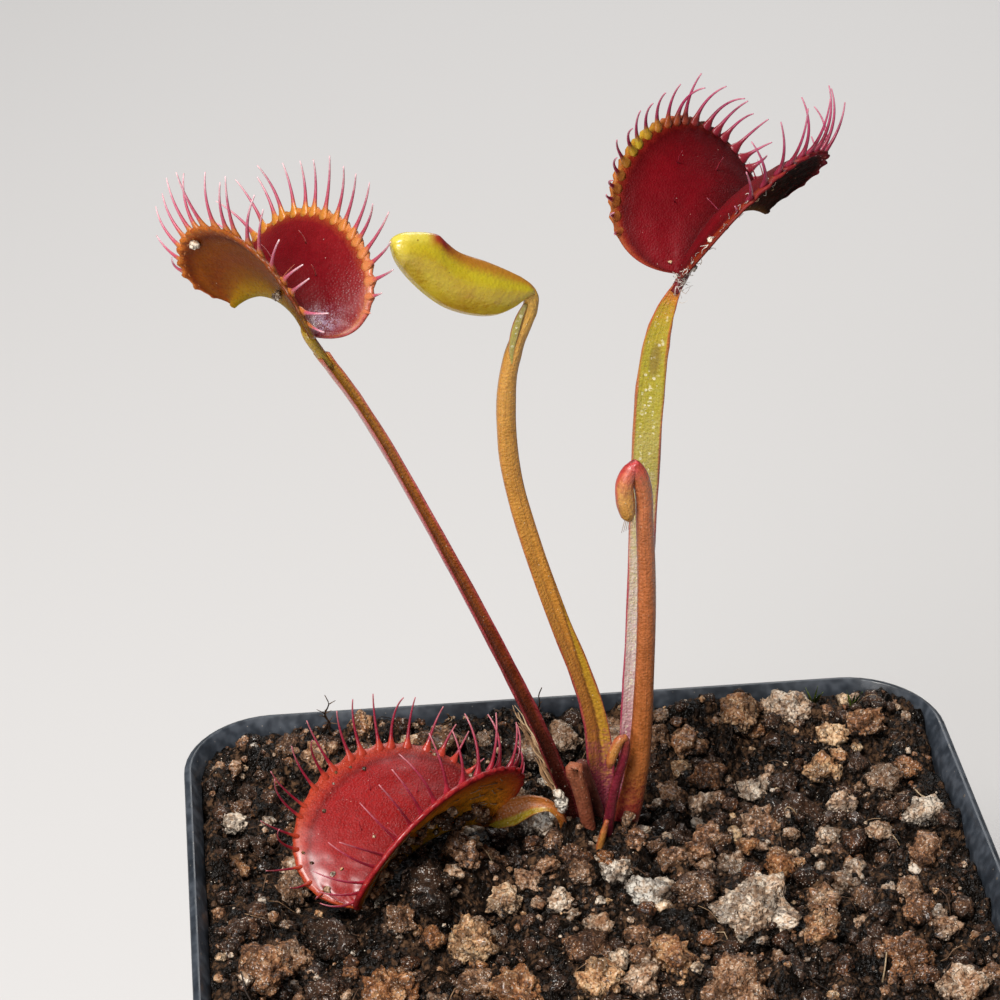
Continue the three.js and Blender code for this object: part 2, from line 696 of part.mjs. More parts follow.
/** One curved, three-sided tooth, its foot sunk in the rim of a lobe. */
function tooth(surface, side, u, length, lean, sway) {
  const { along, outward, inward } = surface.frame(side, u, 0.98);
  const heading = (part) => {
    const turn = toRadians(lean) * mix(0.75, 1.2, part);
    return outward.clone().multiplyScalar(Math.cos(turn))
      .addScaledVector(inward, Math.sin(turn))
      .addScaledVector(along, sway)
      .normalize();
  };
  const start = surface.point(side, u, 1).addScaledVector(outward, -TOOTH.sunk);
  const stops = [[0, TOOTH.foot], [TOOTH.sunk + 0.5, TOOTH.radius]];
  for (let i = 1; i <= TOOTH.steps; i += 1) {
    const part = i / TOOTH.steps;
    stops.push([TOOTH.sunk + 0.5 + part * (length - 0.5), mix(TOOTH.radius, TOOTH.tip, part)]);
  }
  const rings = [];
  const middle = start.clone();
  let travelled = 0;
  for (const [distance, radius] of stops) {
    const part = Math.max(distance - TOOTH.sunk, 0) / length;
    const direction = distance <= TOOTH.sunk ? outward.clone() : heading(part);
    middle.addScaledVector(direction, distance - travelled);
    travelled = distance;
    const across = along.clone().addScaledVector(direction, -along.dot(direction)).normalize();
    const up = across.clone().cross(direction);
    rings.push(circle(middle, across, up, radius, 3, Math.PI / 6));
  }
  return solidOf(loft(rings));
}

/** The short round neck that reaches from the lobes back to the stalk. */
function neckSolid(surface, end) {
  const start = surface.ribNormal(0).multiplyScalar(-0.2).add(surface.point(1, 0.06, 0));
  const along = end.clone().sub(start).normalize();
  const side = along.clone().cross(new THREE.Vector3(1, 0.3, 0)).normalize();
  const out = side.clone().cross(along);
  const sides = 8;
  const stations = [[start, 0.75], [start.clone().lerp(end, 0.55), 0.62], [end, 0.6]];
  return solidOf(loft(stations.map(([middle, radius]) => circle(middle, side, out, radius, sides))));
}

function openTrap(name, trap, colour) {
  const surface = trapSurface(trap);
  const random = randomStream(trap.seed);
  const [pitch, roll, heading] = [trap.pitch, trap.roll, trap.heading].map(toRadians);
  const turn = new THREE.Euler(pitch, roll, heading, 'ZXY');
  const pieces = [lobes(surface)];
  [-1, 1].forEach((side, which) => {
    const count = trap.teeth[which];
    for (let k = 0; k < count; k += 1) {
      const u = mix(0.09, 0.93, (k + 0.5 + 0.25 * (random() - 0.5)) / count);
      const swell = Math.sin(Math.PI * u) ** 0.6;
      const length = trap.toothLength * mix(TOOTH.endLength, 1, swell) * mix(0.88, 1.06, random());
      const lean = trap.lean[which] * mix(0.85, 1.15, random());
      pieces.push(tooth(surface, side, u, length, lean, 0.3 * (random() - 0.5) + 0.2 * (u - 0.5)));
    }
  });
  const backToWorld = new THREE.Matrix4().makeRotationFromEuler(turn).invert();
  pieces.push(neckSolid(surface, new THREE.Vector3(...trap.neck).applyMatrix4(backToWorld)));
  const mesh = meshOf(name, geometryOf(joined(pieces)), colour, 0.35);
  mesh.position.set(...trap.base);
  mesh.rotation.copy(turn);
  return mesh;
}

// ---------------------------------------------------------------- closed trap

/** Flattened half-moon whose two lobes lie together: rings shrink towards its thickest place. */
function closedTrap() {
  const { hook, heading, thickness, outline, thick } = CLOSED_TRAP;
  const curve = new THREE.CatmullRomCurve3(outline.map(([x, z]) => new THREE.Vector3(x, 0, z)), true);
  const around = 30;
  const margin = Array.from({ length: around }, (_, j) => curve.getPoint(j / around));
  const middle = new THREE.Vector3(thick[0], 0, thick[1]);
  const layers = [1, 0.86, 0.62, 0.34];
  const ring = (part, side) => margin.map((p) => {
    const point = middle.clone().lerp(p, part);
    point.y = side * ((thickness / 2) * Math.sqrt(1 - part ** 2.2) + (part === 1 ? 0.33 : 0.12));
    return point;
  });
  const back = layers.map((part) => ring(part, -1)).reverse();
  const rings = [...back, ...layers.map((part) => ring(part, 1))];
  const mesh = meshOf('trap_middle', loft(rings), 0xa9a03a, 0.4);
  mesh.position.set(...hook);
  mesh.rotation.set(0, 0, toRadians(heading));
  return mesh;
}

// ---------------------------------------------------------------- the whole plant

const plant = new THREE.Group();
plant.add(pot());
plant.add(soil(rhizomeSolid(GAP)));
plant.add(meshOf('rhizome', geometryOf(rhizomeSolid(0)), 0xd9cfb4, 0.6));
for (const [name, spec] of Object.entries(BLADES)) plant.add(blade(name, spec));
for (const [name, spec] of Object.entries(STEMS)) plant.add(stem(name, spec));
plant.add(openTrap('trap_left', OPEN_TRAPS.left, 0x8a2a22));
plant.add(openTrap('trap_right', OPEN_TRAPS.right, 0x7a1420));
plant.add(openTrap('trap_low', OPEN_TRAPS.low, 0xb52420));
plant.add(closedTrap());

export default plant;
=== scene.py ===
# A Venus flytrap in a square nursery pot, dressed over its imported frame.
# Blender works in metres, +Z up, with the front towards -Y. Sizes here are in millimetres.
import math
import random

import bpy
from mathutils import Matrix, Vector, noise


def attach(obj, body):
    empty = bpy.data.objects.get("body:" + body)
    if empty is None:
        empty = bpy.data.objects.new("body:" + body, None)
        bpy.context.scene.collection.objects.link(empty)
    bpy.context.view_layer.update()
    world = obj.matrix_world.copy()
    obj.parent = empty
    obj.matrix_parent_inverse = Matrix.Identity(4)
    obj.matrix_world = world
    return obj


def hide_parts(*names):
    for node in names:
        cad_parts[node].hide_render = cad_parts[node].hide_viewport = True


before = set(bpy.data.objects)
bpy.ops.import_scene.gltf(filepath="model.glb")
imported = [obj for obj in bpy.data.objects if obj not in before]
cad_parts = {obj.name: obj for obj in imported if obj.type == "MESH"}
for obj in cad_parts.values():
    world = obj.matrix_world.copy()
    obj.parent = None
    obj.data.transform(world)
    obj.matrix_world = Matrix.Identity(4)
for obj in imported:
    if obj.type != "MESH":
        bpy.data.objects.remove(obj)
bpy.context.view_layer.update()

MM = 0.001
BODY = "root"

# ---------------------------------------------------------------- driving dimensions

POT = {
    "rim": 80, "base": 59, "height": 75, "wall": 0.9,
    "corner": 7.6, "collar": 10, "collar_step": 1.1, "lip": 0.7, "lip_height": 1.7,
    "drain_radius": 3.2, "drain_offset": 18,
}
WALL_TOP = POT["rim"] - 2 * (POT["lip"] + POT["collar_step"])
EDGE_ROUND = 0.28
INNER_HALF = WALL_TOP / 2 + POT["collar_step"] - POT["wall"]

SOIL_LEVEL = 72
SOIL_SWELL = 0.9
SOIL_SIDES = ((66.2, 0.968), (63.4, 0.963), (1.4, 0.787))  # levels below the top, and how they draw in
NEST_LEVEL = 0.3  # the place where the low trap lies, above the mean height
CROWN = (1.7, 16.4)  # where the leaves come out of the soil
LEAF_FOOT = 69.3

# Grit lumps that stand out, as (x, y, width, paleness).
LUMPS = [
    (14.8, 4.7, 8.6, 0.85), (10.9, -6, 7.6, 0.55), (4.9, 7.3, 4.6, 0.95), (-13.1, 4.1, 5.4, 0.8),
    (-1.6, -3.9, 4.6, 0.75), (2.3, -4.4, 4.6, 0.7), (24, 34.9, 5, 0.8), (18.6, 34.2, 4.4, 0.7),
    (31.5, 31, 4, 0.55), (28.2, -2.1, 6.2, 0.45), (19.3, 12, 4.6, 0.6), (31.8, 23, 4.4, 0.6),
    (2, 9.6, 3.4, 0.9), (-35, 22.4, 2.6, 0.95), (18.4, 26.3, 3.2, 0.9), (-30.4, 3.6, 4, 0.6),
    (-21.5, -1.6, 6, 0.55), (-9.1, -3, 5.2, 0.6), (-33, -1, 5.4, 0.5), (33.4, 11.2, 4, 0.5),
    (20.4, 0.3, 4, 0.65), (11, 13.8, 3, 0.5), (-3.9, 7.6, 2.6, 0.8), (32, -9.5, 5.2, 0.7),
    (-26, 32, 4.2, 0.6), (9, 33.5, 4.4, 0.4), (-20, -18, 7, 0.6), (6, -22, 6.4, 0.8),
    (24, -24, 7.4, 0.6), (-6, -33, 5.6, 0.5), (22.3, 35.6, 3, 0.75), (25.6, 36, 3.2, 0.85),
    (-2.2, 12.2, 2.6, 0.35), (4.2, 12, 2.6, 0.45), (1.1, 10.9, 2.2, 0.4), (6.3, 14.4, 2.2, 0.45),
    (-4.3, 13.2, 2.6, 0.5), (-6.6, 11.6, 3, 0.6), (7.8, 11.6, 3, 0.5), (-1.6, 8.9, 2.8, 0.45),
]

# The open traps. Each lobe is part of an oval: half_length along the midrib, and depth from the
# midrib to the margin, with the oval's own middle standing off the midrib by oval_offset. arch
# bends the midrib and curl the lobes, in radians per mm. open is how far a lobe leans away from
# the middle plane, rim is half its thickness at the margin, and crease how deep the groove inside
# the rim is. Each lobe has this many teeth, of tooth_length in mm, which turn inwards by lean in
# degrees. Along a lobe, from 0 at the stalk to 1 at the tip, teeth_from is where they begin and
# where they are full grown, and teeth_to where they end. far_lean and far_foot are how much more
# they lean, and how wide their feet are, near the tip. stalk_end is where the neck meets the stalk.
# Two values in brackets are for the lobe on each side.
OPEN_TRAPS = {
    "left": {
        "base": (-25.9, 12, 135), "heading": 35, "pitch": -6, "roll": 16.5,
        "half_length": 7.5, "depth": 8.6, "oval_offset": 2.95, "arch": 0.116,
        "open": (36, 39), "curl": (0.048, -0.021), "rim": (0.24, 0.3), "crease": 0.05,
        "teeth": (21, 25), "tooth_length": (5.4, 5.2), "lean": (40, 40), "far_lean": 1.35, "far_foot": 1,
        "teeth_from": ((0.08, 0.26), (0.17, 0.35)), "teeth_to": 0.95, "seed": 11,
        "stalk": "petiole_left", "stalk_end": 0.97,
    },
    "right": {
        "base": (8.4, 21, 134.5), "heading": -47, "pitch": 8, "roll": 0.5,
        "half_length": 7.8, "depth": 10.6, "oval_offset": 2.9, "arch": 0.103,
        "open": (57.5, 26.5), "curl": (-0.018, 0.058), "rim": (0.27, 0.2), "crease": 0.05,
        "teeth": (26, 20), "tooth_length": (4.45, 5.7), "lean": (70, 60), "far_lean": 1.35, "far_foot": 1,
        "teeth_from": ((0.14, 0.32), (0.36, 0.43)), "teeth_to": 0.95, "seed": 23,
        "stalk": "petiole_right", "stalk_end": 0.93,
    },
    "low": {
        "base": (-9.5, 19.8, 74.8), "heading": 128, "pitch": -5, "roll": 21.5,
        "half_length": 10, "depth": 11.6, "oval_offset": 3.2, "arch": 0.054,
        "open": (43, 46), "curl": (0.028, 0.005), "rim": (0.31, 0.33), "crease": 0.08,
        "teeth": (21, 22), "tooth_length": (6.2, 6.2), "lean": (66, 66), "far_lean": 1, "far_foot": 0.3,
        "teeth_from": ((-1, -0.5), (-1, -0.5)), "teeth_to": 0.88, "seed": 37,
        "stalk": "petiole_low", "stalk_end": 0.9,
    },
}

# The closed trap in its own plane, from the hook to the tip: its back above and its margin below,
# and the direction that plane faces.
CLOSED_TRAP = {
    "hook": (-6, 16.8, 135.4), "heading": 15, "thickness": 2.7,
    "back": [
        (0.4, 0.1), (0.1, 0.95), (-1.1, 2.05), (-4, 3.95), (-6.8, 5.5), (-8, 6.7), (-8.7, 7.5),
        (-10.6, 8.1),
        (-12.2, 8.2), (-13, 7.8), (-13.15, 7.3),
    ],
    "margin": [
        (0.4, 0.1), (-0.6, -0.3), (-1.8, -1), (-3.4, -1.4), (-5.6, -1), (-8.4, 0.4), (-11.2, 3.2),
        (-12.9, 5.9), (-13.15, 7.3),
    ],
}

# Leaf stalks, from the foot up: (x, y, z, width). face is the way the upper side looks, at the
# foot and at the top, and channel is how deep the upper side is folded in there.
BLADES = {
    "petiole_left": {
        "thickness": 1.1, "channel": (0.5, 0.5), "face": ((0.3, -0.9, 0.3), (0.5, -0.8, 0.4)),
        "path": [
            (-0.8, 19, LEAF_FOOT, 1.4), (-1.4, 18.6, 75, 1.6), (-4, 17.7, 84.1, 1.6),
            (-7.7, 16.7, 94, 1.5), (-14.4, 14.9, 110.4, 1.2), (-21.4, 13.1, 126.2, 1),
            (-25.1, 12.3, 132.9, 1),
        ],
    },
    "petiole_middle": {
        "thickness": 1.3, "channel": (0.35, -0.32), "face": ((0.2, -1, 0.1), (0.1, -1, 0.1)),
        "path": [
            (1.8, 19, LEAF_FOOT, 2.5), (1.6, 18.9, 76.6, 2.8), (1.3, 18.6, 82.8, 2.7),
            (0.6, 18.4, 87.8, 2.3), (-1, 18.2, 93.6, 2.1), (-3.2, 18, 100, 1.9),
            (-6.6, 17.5, 111.9, 1.8), (-7.8, 17.2, 118.2, 1.8), (-8.1, 16.9, 124.9, 1.7),
            (-7.65, 16.8, 128.7, 1.5), (-6.95, 16.8, 131.1, 1.3), (-6.3, 16.8, 132.8, 1.25),
            (-5.9, 16.8, 134.2, 1.3), (-6.1, 16.8, 135.4, 1.4), (-7.2, 16.75, 136.5, 1.3),
            (-9, 16.7, 137.6, 0.8),
        ],
    },
    "petiole_right": {
        "thickness": 1.1, "channel": (0.3, 0.12), "face": ((-0.1, -1, 0.1), (-0.3, -1, 0.1)),
        "path": [
            (4.4, 19.4, LEAF_FOOT, 1.9), (4.5, 19.5, 76, 2), (4.6, 19.7, 84.5, 2.1),
            (4.9, 19.9, 90.4, 2.3), (5.2, 20.1, 102.8, 2.4), (5.4, 20.4, 113, 2.7),
            (5.7, 20.7, 122, 2.7), (6.2, 20.8, 127.5, 2.4), (6.9, 20.9, 130.6, 1.8),
            (7.6, 20.9, 132.4, 1.2), (8.1, 21, 133.4, 0.8),
        ],
    },
    "petiole_low": {
        "thickness": 0.7, "channel": (0.35, 0.35), "face": ((-0.6, -0.7, 0.3), (-0.1, -0.8, 0.6)),
        "path": [
            (-1.7, 16.6, LEAF_FOOT, 1.2), (-1.9, 16.8, 73.4, 1), (-2.5, 17.2, 76.2, 0.7),
            (-3.6, 17.7, 77.3, 1), (-5.3, 18.2, 77.2, 2), (-7.4, 18.8, 76.1, 2.9),
            (-8.8, 19.3, 75.2, 2.4), (-9.6, 19.8, 74.7, 1.2),
        ],
    },
    "sheath": {
        "thickness": 0.65, "channel": (0.3, 0.3), "face": ((-0.2, -1, 0.1), (-0.3, -1, 0.2)),
        "path": [
            (1.1, 17.1, LEAF_FOOT, 1.3), (1, 17.1, 76.2, 1.5), (0.2, 17, 79.5, 1.5),
            (-0.7, 17, 83, 1.1),
        ],
    },
}

# Round stems, from the foot up: (x, y, z, width, depth).
STEMS = {
    "leaf_young": [
        (2.7, 15.7, LEAF_FOOT, 2.2, 1.5), (3.1, 15.6, 74, 2.6, 1.6), (4.1, 15.3, 79.1, 2.6, 1.7),
        (4.8, 15.1, 85.4, 2.2, 1.7), (5, 14.9, 93.9, 1.9, 1.6), (4.9, 14.5, 104.6, 1.8, 1.5),
        (4.5, 14.3, 111.8, 1.7, 1.5), (4.2, 14.1, 116, 1.7, 1.5), (3.6, 14, 118, 1.6, 1.5),
        (3, 14, 118.8, 1.3, 1.1),
    ],
    "leaf_tiny": [
        (1.4, 13.7, LEAF_FOOT, 1.2, 0.9), (1.5, 13.6, 76, 1.2, 0.9), (2.1, 13.4, 82, 1, 0.8),
        (3, 13.2, 86.4, 0.9, 0.8), (3.1, 13.1, 88, 0.8, 0.8), (2.8, 13.1, 88.7, 0.6, 0.6),
    ],
    "leaf_bud": [
        (0.2, 13, LEAF_FOOT, 0.8, 0.8), (0.6, 12.8, 75, 0.8, 0.8), (1, 12.5, 77.6, 0.7, 0.7),
        (1.3, 12.3, 79.2, 0.4, 0.4),
    ],
    "stump": [
        (0.3, 15.5, LEAF_FOOT, 1.3, 1.1), (0.2, 15.4, 74, 1.4, 1.2), (-0.6, 15, 79.2, 1.5, 1.2),
        (-1.8, 14.5, 84.4, 1.7, 1.2),
    ],
}

# Folded traps that hang from the hooked tops of the young leaves.
BUDS = {
    "leaf_young": [
        (3.4, 14, 118.5, 1.2, 1.2), (2.9, 13.9, 118.1, 1.5, 1.5), (2.4, 13.7, 116.9, 1.7, 1.7),
        (2.5, 13.5, 115, 1.8, 1.7), (2.75, 13.4, 113.7, 1.4, 1.3), (2.95, 13.4, 113.1, 0.5, 0.5),
    ],
    "leaf_tiny": [
        (3, 13.1, 88.5, 0.7, 0.7), (2.5, 13, 88.3, 1, 1), (2, 12.9, 87.4, 1.1, 1.1),
        (1.6, 12.9, 86, 1, 1), (1.5, 12.9, 85.2, 0.5, 0.5),
    ],
}


def mix(a, b, part):
    return a + (b - a) * part


def smooth(low, high, value):
    part = min(max((value - low) / (high - low), 0), 1)
    return part * part * (3 - 2 * part)


# ---------------------------------------------------------------- camera, light and floor

def add_camera():
    bpy.ops.object.camera_add(
        location=(-0.035596, -0.219301, 0.260181),
        rotation=(math.radians(58.41), 0, math.radians(-6.48)),
    )
    camera = bpy.context.object
    camera.data.lens = 108
    camera.data.sensor_width = 36
    camera.data.clip_start = 0.01
    bpy.context.scene.camera = camera


# Soft lights, as (place, size, power, colour).
LIGHTS = {
    "key_light": ((-0.22, -0.24, 0.76), 0.15, 6.8, (1, 0.97, 0.94)),
    "fill_light": ((-0.36, -0.52, 0.36), 0.3, 2.6, (0.98, 0.98, 1)),
    "back_light": ((0.15, 0.6, 0.5), 0.4, 2.2, (1, 1, 1)),
}
LIGHT_AIM = (0, 0.015, 0.1)
FLOOR_SIZE = 4


def add_studio():
    for name, (place, size, power, colour) in LIGHTS.items():
        bpy.ops.object.light_add(type="AREA", location=place)
        lamp = bpy.context.object
        lamp.name = name
        lamp.data.size = size
        lamp.data.energy = power
        lamp.data.color = colour
        lamp.rotation_euler = (Vector(LIGHT_AIM) - Vector(place)).to_track_quat("-Z", "Y").to_euler()
    world = bpy.data.worlds.new("studio")
    world.use_nodes = True
    world.node_tree.nodes["Background"].inputs["Color"].default_value = (0.9, 0.93, 1, 1)
    world.node_tree.nodes["Background"].inputs["Strength"].default_value = 0.09
    bpy.context.scene.world = world
    bpy.context.scene.view_settings.view_transform = "Standard"
    bpy.ops.mesh.primitive_plane_add(size=FLOOR_SIZE)
    floor = bpy.context.object
    floor.name = "floor"
    floor_paint = bpy.data.materials.new("pale_floor")
    floor_paint.use_nodes = True
    principled = floor_paint.node_tree.nodes["Principled BSDF"]
    principled.inputs["Base Color"].default_value = (0.62, 0.61, 0.6, 1)
    principled.inputs["Roughness"].default_value = 0.7
    floor.data.materials.append(floor_paint)


# ---------------------------------------------------------------- node tools

class Shader:
    """Adds nodes to one material or group. An input is a value, or a socket to link."""

    def __init__(self, tree):
        self.tree = tree

    def add(self, kind, inputs=None, **settings):
        made = self.tree.nodes.new("ShaderNode" + kind)
        for name, value in settings.items():
            setattr(made, name, value)
        for name, value in (inputs or {}).items():
            if isinstance(value, bpy.types.NodeSocket):
                self.tree.links.new(value, made.inputs[name])
            else:
                made.inputs[name].default_value = value
        return made

    def math(self, operation, a, b=0.0):
        return self.add("Math", {0: a, 1: b}, operation=operation).outputs[0]

    def times(self, a, b):
        return self.math("MULTIPLY", a, b)

    def plus(self, a, b):
        return self.math("ADD", a, b)

    def minus(self, a, b):
        return self.math("SUBTRACT", a, b)

    def swing(self, value, share):
        """How far a value from 0 to 1 lies off its middle, scaled."""
        return self.times(self.minus(value, 0.5), share)

    def fit(self, value, low, high, out_low=0.0, out_high=1.0):
        """Maps a value smoothly from one range to another, held at both ends."""
        inputs = {"Value": value, "From Min": low, "From Max": high}
        inputs.update({"To Min": out_low, "To Max": out_high})
        return self.add("MapRange", inputs, interpolation_type="SMOOTHSTEP").outputs[0]

    def ramp(self, value, stops):
        made = self.add("ValToRGB", {"Fac": value})
        elements = made.color_ramp.elements
        while len(elements) < len(stops):
            elements.new(1)
        for element, (place, *colour) in zip(elements, stops):
            element.position = place
            element.color = (*colour, 1)
        return made.outputs["Color"]

    def blend(self, part, a, b, kind="MIX"):
        made = self.add("Mix", data_type="RGBA", blend_type=kind)
        for socket, value in ((made.inputs[0], part), (made.inputs[6], a), (made.inputs[7], b)):
            if isinstance(value, bpy.types.NodeSocket):
                self.tree.links.new(value, socket)
            else:
                socket.default_value = value if isinstance(value, (int, float)) else (*value, 1)
        return made.outputs[2]

    def place(self):
        """Where a spot lies on its piece: along, across and which side, from its own attribute."""
        lies = self.add("Attribute", attribute_name="place").outputs["Vector"]
        return self.add("SeparateXYZ", {0: lies}).outputs

    def dim(self, colour, shade):
        """Colour times a brightness."""
        grey = self.add("CombineColor", {0: shade, 1: shade, 2: shade}).outputs[0]
        return self.blend(1.0, colour, grey, "MULTIPLY")

    def shared(self, name, *values):
        """One of the shared effects. Its values come in the order of the group's inputs."""
        made = self.add("Group", node_tree=GROUPS[name])
        for socket, value in zip(made.inputs, values):
            socket.default_value = value
        return made.outputs

    def mottling(self, size_per_m, fine_share):
        return self.shared("mottling", size_per_m, fine_share)[0]

    def specks(self, spots_per_m, share, width):
        return self.shared("specks", spots_per_m, share, width)[0]

    def sprinkle(self, colour, tint, strength, spots_per_m, share, width):
        """Colour with tinted spots strewn over it."""
        spots = self.specks(spots_per_m, share, width)
        return self.blend(self.times(spots, strength), colour, tint)

    def pebbling(self, cells_per_m, unevenness):
        return self.shared("pebbling", cells_per_m, unevenness)[0]

    def grit_skin(self, grains_per_m):
        return self.shared("grit_skin", grains_per_m)


def new_group(name, inputs, outputs):
    """Shader node group with float inputs and outputs, ready for its nodes."""
    tree = bpy.data.node_groups.new(name, "ShaderNodeTree")
    for label, value in inputs.items():
        made = tree.interface.new_socket(label, in_out="INPUT", socket_type="NodeSocketFloat")
        made.default_value = value
    for label in outputs:
        tree.interface.new_socket(label, in_out="OUTPUT", socket_type="NodeSocketFloat")
    shader = Shader(tree)
    start = shader.add("TexCoord").outputs["Object"]
    taken = tree.nodes.new("NodeGroupInput").outputs
    given = tree.nodes.new("NodeGroupOutput").inputs
    return shader, start, taken, given


def make_mottling():
    """Soft uneven patches over finer blotches. Patches runs from 0 to 1 round 0.5."""
    inputs = {"Size per m": 500, "Fine share": 0.4}
    shader, start, taken, given = new_group("mottling", inputs, ["Patches"])
    broad = shader.add("TexNoise", {"Vector": start, "Scale": taken["Size per m"], "Detail": 2.0})
    fine_scale = shader.times(taken["Size per m"], 5)
    fine = shader.add("TexNoise", {"Vector": start, "Scale": fine_scale, "Detail": 1.0})
    both = shader.add("Mix", {0: taken["Fine share"], 2: broad.outputs[0], 3: fine.outputs[0]})
    shader.tree.links.new(shader.fit(both.outputs[0], 0.3, 0.7), given["Patches"])
    return shader.tree


def make_specks():
    """Small round spots strewn by chance. Share is about how many of the places have one."""
    inputs = {"Spots per m": 1500, "Share": 0.3, "Width": 0.25}
    shader, start, taken, given = new_group("specks", inputs, ["Spots"])
    cells = shader.add("TexVoronoi", {"Vector": start, "Scale": taken["Spots per m"]})
    pick = shader.add("SeparateColor", {0: cells.outputs["Color"]}).outputs[0]
    chosen = shader.math("LESS_THAN", pick, taken["Share"])
    size = shader.times(taken["Width"], shader.fit(pick, 0, 0.3, 0.5, 1.2))
    inside = shader.add("MapRange", {"Value": cells.outputs["Distance"], "From Min": size, "From Max": 0})
    soft = shader.times(inside.outputs[0], 3)
    held = shader.math("MINIMUM", soft, 1)
    shader.tree.links.new(shader.times(held, chosen), given["Spots"])
    return shader.tree


def make_pebbling():
    """Height of a skin of small rounded cells, uneven from place to place."""
    inputs = {"Cells per m": 2500, "Unevenness": 0.5}
    shader, start, taken, given = new_group("pebbling", inputs, ["Height"])
    cells = shader.add("TexVoronoi", {"Vector": start, "Scale": taken["Cells per m"]})
    dome = shader.fit(cells.outputs["Distance"], 0.9, 0.0, 0.3, 1.0)
    rough = shader.add("TexNoise", {"Vector": start, "Scale": shader.times(taken["Cells per m"], 0.4)})
    both = shader.add("Mix", {0: taken["Unevenness"], 2: dome, 3: rough.outputs[0]})
    shader.tree.links.new(both.outputs[0], given["Height"])
    return shader.tree


def make_grit_skin():
    """Pitted, crumbly surface: its height, and a mask of its pits, which the grit darkens as painted
    shade.
    """
    shader, start, taken, given = new_group("grit_skin", {"Grains per m": 1800}, ["Height", "Pits"])
    scale = taken["Grains per m"]
    broad = shader.times(scale, 0.5)
    noise_low = shader.add("TexNoise", {"Vector": start, "Scale": broad, "Detail": 3.0})
    cells = shader.add("TexVoronoi", {"Vector": start, "Scale": scale})
    pits = shader.fit(cells.outputs["Distance"], 0.55, 0.85)
    height = shader.minus(noise_low.outputs[0], shader.times(pits, 0.25))
    shader.tree.links.new(height, given["Height"])
    deep = shader.times(pits, shader.fit(noise_low.outputs[0], 0.62, 0.4))
    shader.tree.links.new(deep, given["Pits"])
    return shader.tree


GROUPS = {
    "mottling": make_mottling(),
    "specks": make_specks(),
    "pebbling": make_pebbling(),
    "grit_skin": make_grit_skin(),
}


def new_material(name, **uniform):
    """Material with a Principled shader whose uniform values are set on its own sockets."""
    material = bpy.data.materials.new(name)
    material.use_nodes = True
    shader = Shader(material.node_tree)
    principled = material.node_tree.nodes["Principled BSDF"]
    for label, value in uniform.items():
        principled.inputs[label.replace("_", " ")].default_value = value
    return material, shader, principled


def finish_surface(shader, principled, colour, roughness, height, depth):
    """Wires colour and roughness in, and a height in mm through a Bump node."""
    links = shader.tree.links
    links.new(colour, principled.inputs["Base Color"])
    links.new(roughness, principled.inputs["Roughness"])
    bump = shader.add("Bump", {"Height": height, "Distance": depth * MM, "Strength": 1.0})
    links.new(bump.outputs[0], principled.inputs["Normal"])


# ---------------------------------------------------------------- mesh tools

def named(thing, name):
    thing.name = name
    thing.data.name = name
    return thing


def select_only(*things):
    bpy.ops.object.select_all(action="DESELECT")
    for thing in things:
        thing.select_set(True)
    bpy.context.view_layer.objects.active = things[0]


def edit(thing):
    select_only(thing)
    bpy.ops.object.mode_set(mode="EDIT")


def turn_faces_out(thing):
    edit(thing)
    bpy.ops.mesh.select_all(action="SELECT")
    bpy.ops.mesh.normals_make_consistent(inside=False)
    bpy.ops.object.mode_set(mode="OBJECT")


def join(name, things):
    select_only(*things)
    if len(things) > 1:
        bpy.ops.object.join()
    return named(bpy.context.object, name)


def dress(piece, material, slot, *nodes):
    """Gives a finished piece its material, its body and the frame nodes that it stands for."""
    piece.data.materials.clear()
    piece.data.materials.append(material)
    for face in piece.data.polygons:
        face.use_smooth = True
    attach(piece, BODY)
    if nodes:
        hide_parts(*nodes)
    return piece


STRAIGHT_TUBES = {}


def straight_tube(sides, rows):
    """Closed tube from z = 0 to 1, extruded ring by ring from a disc, and each point's ring."""
    if (sides, rows) not in STRAIGHT_TUBES:
        bpy.ops.object.select_all(action="DESELECT")
        bpy.ops.mesh.primitive_circle_add(vertices=sides, radius=1, fill_type="NGON")
        tube = bpy.context.object
        edit(tube)
        bpy.ops.mesh.select_all(action="SELECT")
        for _ in range(rows):
            bpy.ops.mesh.extrude_region_move(TRANSFORM_OT_translate={"value": (0, 0, 1 / rows)})
        bpy.ops.object.mode_set(mode="OBJECT")
        mesh = tube.data
        bpy.data.objects.remove(tube)
        rings = []
        for vertex in mesh.vertices:
            turn = math.atan2(vertex.co.y, vertex.co.x) / (2 * math.pi)
            rings.append((round(vertex.co.z * rows) / rows, round(turn * sides) % sides))
        STRAIGHT_TUBES[sides, rows] = (mesh, rings)
    return STRAIGHT_TUBES[sides, rows]


def shaped_tube(name, sides, rows, where):
    """Copy of a straight tube whose points move to where(t, k), in mm.

    where gives the point, and how it lies on the piece as (along, across, side).
    """
    straight, rings = straight_tube(sides, rows)
    mesh = straight.copy()
    lies = mesh.attributes.new("place", "FLOAT_VECTOR", "POINT")
    for vertex, ring, place in zip(mesh.vertices, rings, lies.data):
        point, place.vector = where(*ring)
        vertex.co = point * MM
    tube = bpy.data.objects.new(name, mesh)
    bpy.context.scene.collection.objects.link(tube)
    return named(tube, name)


